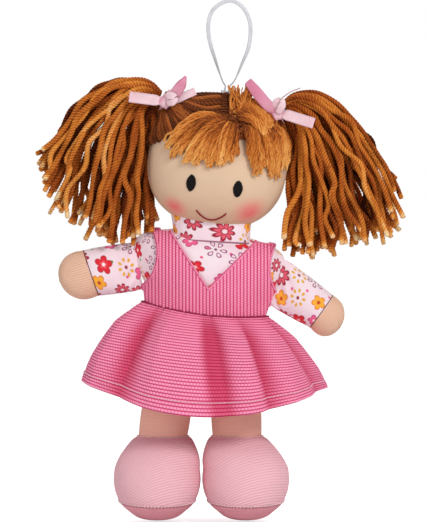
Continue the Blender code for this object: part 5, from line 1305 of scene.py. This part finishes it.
# drop, half-width, heel and length of each level section, in shares
FOOT_SHARES = np.array([
    (-0.012, 0.54, 0.76, 0.44), (0.0, 0.575, 0.78, 0.46), (0.05, 0.69, 0.84, 0.55),
        (0.21, 0.845, 0.93, 0.755), (0.37, 0.945, 0.965, 0.87),
    (0.53, 0.985, 0.985, 0.94), (0.69, 1.0, 1.0, 0.985), (0.85, 0.965, 0.99, 1.0),
        (0.96, 0.905, 0.96, 0.985), (1.0, 0.872, 0.94, 0.965),
])
SOLE_SHARES = np.array([
    (0.0, 0.872, 0.94, 0.965), (0.24, 0.80, 0.90, 0.925), (0.50, 0.66, 0.80, 0.84),
        (0.74, 0.52, 0.66, 0.72), (0.88, 0.38, 0.48, 0.55),
    (0.97, 0.21, 0.27, 0.31), (1.0, 0.06, 0.08, 0.09),
])
# the same shares at the seam of the sole and at the ankle
SEAM_SHARES = ((1.0, 0.868, 0.940, 0.965), (0.0, 0.580, 0.785, 0.465))


def foot_skin(side, shares, above, height, bent):
    """Round sections from ankle to ground: half-width, heel and length in shares, sliding from ankle to foot.

    The chart runs down the foot on a slant and an arc, so that the knit's ribs curve up over the toe.
    """
    turn = np.linspace(0.0, TAU, 129)[None, :]
    down, wide, heel, long = (shares[:, axis][:, None] for axis in range(4))
    back = heel * FOOT_HEEL_BACK
    front = back - long * FOOT_LENGTH
    slide = np.clip(down / 0.5, 0.0, 1.0) if bent else np.ones_like(down)
    across = ANKLE_X[side] + (FOOT_X[side] - ANKLE_X[side]) * slide
    offset = wide * FOOT_HALF_WIDTH * np.cos(turn)
    depth = (back - front) / 2.0 * squared(np.sin(turn), FOOT_POWER)
    grid = layers(across + offset, (back + front) / 2.0 + depth, above - down * height)
    dip = FOOT_DIP * np.maximum(0.0, -np.sin(turn)) * (np.clip(down, 0.0, 1.0) ** 3 if bent else 1.0 - down)
    grid[..., 2] -= dip
    slanted = grid[..., 2] - 0.34 * offset + 7.0 * offset ** 2 + 0.10 * grid[..., 1]
    return grid, layers(turn * 0.024, slanted)


def running_stitches(line, outward, length, gap, radius, lift=0.0):
    """Short stitches one after another along a line, each bowed a little off the cloth."""
    travelled = travel(line)
    count = max(2, int(travelled[-1] / (length + gap)))
    starts = np.arange(count) * (travelled[-1] / count)
    places = starts[:, None] + np.linspace(0.0, length, 5)[None, :]
    path, out = (np.stack([np.interp(places, travelled, values[:, axis]) for axis in range(3)], axis=2)
                 for values in (line, outward))
    out = unit(out)
    bow = np.sin(np.linspace(0.0, math.pi, 5))[None, :, None] * radius * 0.9
    return threads(path + out * (lift + bow), out, radius, 5)


pink_knit = fine_knit("light_pink_knit", dye(254, 196, 206), 0.00160, 0.0009, deep=0.58, bump=0.0003, turned=True)
sole_knit = fine_knit("sole_pink_knit", dye(244, 166, 178), 0.00130, 0.0009, deep=0.64, turned=True)
seam_thread = sewing_thread("pale_pink_thread", dye(255, 216, 220), 0.6, 0.85)
# painted shade for the stitch holes
hole_shade = sewing_thread("stitch_hole_shade", dye(150, 66, 84), 0.8, 0.8)
for side in SIDES:
    body = f"leg_{side}"
    skin = foot_skin(side, spline(FOOT_SHARES, np.linspace(0, 9, 90)), ANKLE_Z, FOOT_HEIGHT, True)
    piece(f"knit_foot_{side}", *closed(*skin, -1), pink_knit, body, "pink_knit", f"foot_{side}", fill=0.95)
    skin = foot_skin(side, spline(SOLE_SHARES, np.linspace(0, 6, 60)), ANKLE_Z - FOOT_HEIGHT, SOLE_HEIGHT, False)
    piece(f"knit_sole_{side}", *closed(*skin, -1), sole_knit, body, "sole_knit", f"sole_{side}", fill=0.9)
    grids, charts, hole_grids, hole_charts = [], [], [], []
    for shares in SEAM_SHARES:
        ring = foot_skin(side, np.array([shares]), ANKLE_Z, FOOT_HEIGHT, True)[0][0]
        ring_out = unit(ring - ring.mean(axis=0))
        grid, chart = running_stitches(ring, ring_out, 0.00110, 0.00090, 0.00044, 0.00010)
        grids += list(grid)
        charts += list(chart)
        # painted shade in the stitch holes: short deep rose marks between the pale stitches, a little below them
        shifted = np.concatenate([ring[2:-1], ring[:3]]) - UP * 0.00050
        grid, chart = running_stitches(shifted, ring_out, 0.00060, 0.00140, 0.00030, 0.00012)
        hole_grids += list(grid)
        hole_charts += list(chart)
    piece(f"foot_stitches_{side}", grids, charts, seam_thread, body, "pink_knit")
    piece(f"foot_stitch_holes_{side}", hole_grids, hole_charts, hole_shade, body, "pink_knit")


# Dress: a pinafore of thick pink rib knit. The bodice has upright ribs, a V neck and wide straps, and
# the gathered skirt has level ribs, with a turned hem held by a line of lighter stitches.
DRESS_THICKNESS = 0.0018
DRESS_GAP = 0.0004
WAIST_X = -0.0146
WAIST_Z = -0.1778
WAIST_SLOPE = 0.12
ARMHOLE = {"left": (-0.0580, -0.1444), "right": (0.0390, -0.1540)}
ARMHOLE_HALF = (0.0162, 0.0220)
ARMHOLE_END = {"left": math.radians(38.0), "right": math.radians(142.0) - TAU}
BODICE_RIB = 0.00197
SKIRT_LENGTH = 0.0432
HEM_HALF = (0.0700, 0.0430)
HEM_X = -0.0152
HEM_SLOPE = 0.034
HEM_FRONT_DROP = 0.0170
WAIST_SAG = 0.0030
SKIRT_RIBS = 33


def rib_knit(name, turned):
    """Thick rib knit: each rib a chain of plump stitches, with painted highlight on top, painted shade between the ribs
    and in the folds.
    """
    made, tree, shader = finish_of(name, dye(238, 112, 152), 0.85, sheen=0.15, sheen_colour=dye(255, 150, 184),
                                   Specular_IOR_Level=0.15)
    knit = node(tree, "Group", KNIT, Chart=chart_of(tree, turned), Rib=BODICE_RIB, Stitch=0.00155, Slant=0.30).outputs
    # painted highlight on the rib tops and painted shade in the grooves between them
    colour = set_ramp(node(tree, "ValToRGB", Fac=knit["Height"]), (0.05, dye(160, 10, 58)),
        (0.95, dye(253, 164, 196)),
                      (0.50, dye(234, 80, 132)))
    # painted shade in the folds, where the tone is low
    fold_shade = node(tree, "MapRange", {"interpolation_type": "SMOOTHSTEP"}, Value=tone_of(tree), From_Min=0.05,
                  From_Max=0.70, To_Min=0.74, To_Max=0.0)
    deepened = blended(tree, fold_shade.outputs[0], colour, dye(200, 16, 72))
    toned = node(tree, "Group", TONE, Color=deepened, Amount=0.10).outputs[0]
    dress(tree, shader, toned, knit["Height"], 0.00050, 0.9)
    return made


def torso_depth(x, z, growth):
    """Depth of the body's skin over a place seen from the front, found by a few corrections of its height."""
    height = (z - HIP[2]) / TORSO_HEIGHT
    for _ in range(12):
        slope, wide, deep = (torso_at(height, column) for column in (1, 2, 3))
        across = x - HIP[0] - TORSO_LEAN * height * TORSO_HEIGHT
        height = (z - HIP[2] + slope * TORSO_SLOPE * across) / TORSO_HEIGHT
    half = wide * TORSO_HALF[0] + growth
    flat = np.clip(np.abs(across) / half, 0.0, 1.0)
    return (deep * TORSO_HALF[1] + growth) * (1.0 - flat ** 2) ** (TORSO_POWER / 2.0)


def torso_edge(z, sign, growth):
    """X of the body's side at a height, found by a few corrections."""
    x = np.full_like(z, HIP[0])
    for _ in range(20):
        slope = torso_at((z - HIP[2]) / TORSO_HEIGHT, 1)
        height = (z - HIP[2] + slope * TORSO_SLOPE * (x - HIP[0])) / TORSO_HEIGHT
        x = HIP[0] + TORSO_LEAN * height * TORSO_HEIGHT + sign * (torso_at(height, 2) * TORSO_HALF[0] + growth)
    return x


BODICE_OUT = DRESS_GAP + DRESS_THICKNESS
MIDLINE = -0.0128
NECKLINES = {
    ("front", "left"): ((-0.0128, -0.1659), (-0.0232, -0.1503), (-0.0336, -0.1345), (-0.0345, -0.1325)),
    ("front", "right"): ((-0.0128, -0.1659), (0.0005, -0.1530), (0.0138, -0.1400), (0.0150, -0.1385)),
    ("back", "left"): ((-0.0128, -0.1485), (-0.0240, -0.1470), (-0.0336, -0.1365), (-0.0345, -0.1325)),
    ("back", "right"): ((-0.0128, -0.1485), (0.0020, -0.1495), (0.0138, -0.1415), (0.0150, -0.1385)),
}
STRAP_TOPS = {"left": (-0.0425, -0.1318), "right": (0.0228, -0.1398)}
ARMPITS = {"left": -0.1665, "right": -0.1760}


def waist_at(x):
    """Height of the sloping waist seam over a place across the body."""
    return WAIST_Z - WAIST_SLOPE * (x - WAIST_X)


def bodice_panel(face, side):
    """A quarter of the bodice: rows from the waist to the strap's top, between the side edge and the neckline."""
    sign = SIGN[side]
    waist_edge = torso_edge(np.array([WAIST_Z - WAIST_SLOPE * sign * 0.033]), sign, BODICE_OUT)[0]
    side_z = np.linspace(waist_at(waist_edge), ARMPITS[side], 40)
    side_line = np.stack([torso_edge(side_z, sign, BODICE_OUT), side_z], axis=1)
    hole_middle, hole_half = np.array(ARMHOLE[side]), np.array(ARMHOLE_HALF)
    start = (side_line[-1] - hole_middle) / hole_half
    hole_turn = np.linspace(math.atan2(start[1], start[0]), ARMHOLE_END[side], 60)
    hole = hole_middle + hole_half * np.stack([np.cos(hole_turn), np.sin(hole_turn)], axis=1)
    outline = even(np.concatenate([side_line[-1:], hole, [STRAP_TOPS[side]]]), 81)
    outer = np.concatenate([even(side_line, 40), outline[1:]])
    neck = np.array(NECKLINES[(face, side)])
    inner = np.concatenate([even([(MIDLINE, waist_at(MIDLINE)), neck[0]], 40), even(neck, 81)[1:]])
    flat = between(outer[:, None], inner[:, None], np.linspace(0.0, 1.0, 90)[None, :, None])
    x, z = flat[..., 0], flat[..., 1]
    depth = torso_depth(x, z, BODICE_OUT) * (-1.0 if face == "front" else 1.0)
    if face == "front":
        low = np.clip(1.0 - np.arange(len(x)) / 39.0, 0.0, 1.0)[:, None]
        z = z - WAIST_SAG * low * np.clip(1.0 - ((x - WAIST_X) / 0.0375) ** 2, 0.0, 1.0)
    rib = np.abs(np.sin(math.pi * x / BODICE_RIB)) ** 0.75
    fade = np.clip((np.abs(depth) - 0.0010) / 0.0030, 0.0, 1.0)
    depth = depth + np.sign(depth) * (0.00044 * rib - 0.00014) * fade
    return np.stack([x, depth, z], axis=2), np.stack([x, z * 1.05], axis=2)


panels = [bodice_panel(face, side) for face in ("front", "back") for side in SIDES]
bodice_knit = rib_knit("upright_rib_knit", False)
bodice = piece("pinafore_bodice", *zip(*panels), bodice_knit, "torso", "pink_rib_knit", "dress_bodice",
               tones=[0.62] * 4, weld=1e-5)
wall = bodice.modifiers.new("thickness", "SOLIDIFY")
wall.thickness = 0.0014
wall.offset = -1.0

edge_grids, edge_charts = [], []
for grid, _ in panels:
    for line in (grid[39:, 0], grid[39:, -1]):
        smooth = even(line, 90)
        smooth = smooth - unit(smooth * BACK) * 0.0005
        edge_grid, edge_chart = threads(smooth[None], -BACK, 0.00085, 8)
        edge_grids += list(edge_grid)
        edge_charts += list(edge_chart * np.array([0.006, 1.0]))
piece("pinafore_turned_edges", edge_grids, edge_charts, bodice_knit, "torso", "pink_rib_knit",
      tones=[0.55] * len(edge_grids))

# angle round the skirt in degrees, and how far a fold stands out there
FOLD_KNOTS = np.array([
    (-180.0, -0.2), (-168.0, 0.7), (-155.0, 0.9), (-146.0, 0.1), (-137.0, -1.0), (-128.0, -0.2),
        (-117.0, 1.0), (-104.0, 0.85),
    (-96.0, 0.3), (-91.0, -0.9), (-84.0, -1.0), (-79.0, -0.1), (-71.0, 0.8), (-64.0, 0.4), (-58.0, -0.8),
        (-52.0, -0.3), (-42.0, 0.7),
    (-30.0, 0.5), (-20.0, -0.5), (-10.0, 0.2), (0.0, 0.6), (14.0, -0.6), (32.0, 0.8), (50.0, -0.7),
        (66.0, 0.8), (84.0, -0.6),
    (102.0, 0.7), (120.0, -0.8), (138.0, 0.8), (154.0, -0.5), (168.0, 0.4), (180.0, -0.2),
])
FOLD_DEPTH = 0.0046
FOLD_LEAN = 7.0
# the share of their depth that the folds have down the skirt, and of the flare that it has
FOLD_REACH = ((0.0, 0.06, 0.25, 0.7, 1.0), (0.10, 0.38, 1.0, 1.0, 0.62))
FLARE = ((0.0, 0.04, 0.08, 0.18, 0.28, 0.42, 0.55, 0.68, 0.80, 0.9, 1.0),
         (0.0, 0.08, 0.15, 0.30, 0.43, 0.57, 0.69, 0.80, 0.89, 0.95, 1.0))


def skirt_fold(along, turn):
    """How far the folds stand out, from -1 to 1: read off by the angle, and leaning aside on the way down."""
    degrees = np.degrees((turn + math.pi) % TAU) - 180.0
    leaning = degrees - FOLD_LEAN * along * np.exp(-((degrees + 84.0) / 24.0) ** 2)
    return np.interp(leaning, FOLD_KNOTS[:, 0], FOLD_KNOTS[:, 1])


def skirt_skin(along, turn, inset, ribs):
    """Places on the skirt: an oval flaring from waist to hem, waved by folds and gathers, with level ribs."""
    along, turn = np.broadcast_arrays(along, turn)
    flare = np.interp(along, *FLARE)
    share = (WAIST_Z - HIP[2]) / TORSO_HEIGHT
    waist = [torso_at(share, axis + 2) * TORSO_HALF[axis] + BODICE_OUT for axis in (0, 1)]
    deep = FOLD_DEPTH * np.interp(along, *FOLD_REACH)
    gather = 0.0006 * np.exp(-along / 0.09) * (np.sin(turn * 47.0) + 0.6 * np.sin(turn * 31.0 + 1.0))
    rib = 0.00032 * (np.abs(np.sin(math.pi * along * SKIRT_RIBS)) ** 0.75 - 0.5) if ribs else 0.0
    wave = deep * skirt_fold(along, turn) + gather + rib - inset
    power = TORSO_POWER + (1.0 - TORSO_POWER) * np.minimum(1.0, along / 0.3)
    across = (waist[0] + (HEM_HALF[0] - waist[0]) * flare + wave) * np.cos(turn)
    depth = (waist[1] + (HEM_HALF[1] - waist[1]) * flare + wave) * squared(np.sin(turn), power)
    slope = WAIST_SLOPE + (HEM_SLOPE - WAIST_SLOPE) * along
    drop = SKIRT_LENGTH * along + HEM_FRONT_DROP * along ** 2 * np.sin(turn) ** 2
    drop = drop + WAIST_SAG * (1.0 - along) * np.where(np.sin(turn) < 0.0, np.sin(turn) ** 2, 0.0)
    return np.stack([WAIST_X + (HEM_X - WAIST_X) * along + across, depth, WAIST_Z - drop - slope * across], axis=-1)


skirt_turn = np.linspace(0.0, TAU, 361)[None, :]
outer_along = np.linspace(0.0, 1.0, 6 * SKIRT_RIBS + 1)[:, None]
inner_along = np.linspace(1.0, 0.0, 24)[:, None]
hem_swell = (-0.00045 * np.clip((outer_along - 0.905) / 0.012, 0.0, 1.0)
             + 0.00040 * np.exp(-((outer_along - 0.895) / 0.006) ** 2))
skirt_outer = skirt_skin(outer_along, skirt_turn, hem_swell, True)
skirt_inner = skirt_skin(inner_along, skirt_turn, 0.0012, False)
hem_round = skirt_skin(np.array([[1.006]]), skirt_turn, 0.0005, False)
skirt_grid = np.concatenate([skirt_outer, hem_round, skirt_inner, skirt_outer[:1]])
skirt_down = np.concatenate([outer_along, [[1.006]], 2.0 - inner_along, [[2.0]]])
skirt_chart = layers(skirt_turn * 0.056, skirt_down * SKIRT_RIBS * BODICE_RIB)
# painted shade in the skirt's fold valleys, carried to the finish by the tone
skirt_fold_shade = skirt_fold(np.clip(skirt_down, 0.0, 1.0), skirt_turn) * np.interp(skirt_down, *FOLD_REACH)
skirt = sheets_to_mesh("pinafore_skirt", [skirt_grid], [skirt_chart], rib_knit("level_rib_knit", True),
                       tones=[0.5 + 0.5 * skirt_fold_shade])
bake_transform(skirt)
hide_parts("dress_skirt")

hem_line = skirt_skin(np.array([0.895]), np.linspace(0.0, TAU, 361), -0.0002, False)
hem_out = unit((hem_line - hem_line.mean(axis=0)) * np.array([1.0, 1.0, 0.0]))
hem_stitches = sheets_to_mesh("hem_stitches", *running_stitches(hem_line, hem_out, 0.0019, 0.0006, 0.00036),
                              sewing_thread("light_pink_thread", dye(255, 196, 214), 0.6, 0.85))
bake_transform(hem_stitches)

# Painted shadow under the bodice's lower edge: a thin deep pink ring round the top of the skirt.
waist_line = skirt_skin(np.array([0.0]), np.linspace(0.0, TAU, 241), -0.0003, False)
piece("waist_shadow_line", *threads(waist_line[None], UP, 0.00062, 8),
      sewing_thread("waist_shadow_thread", dye(158, 22, 72), 0.8, 0.8), "torso", "pink_rib_knit")
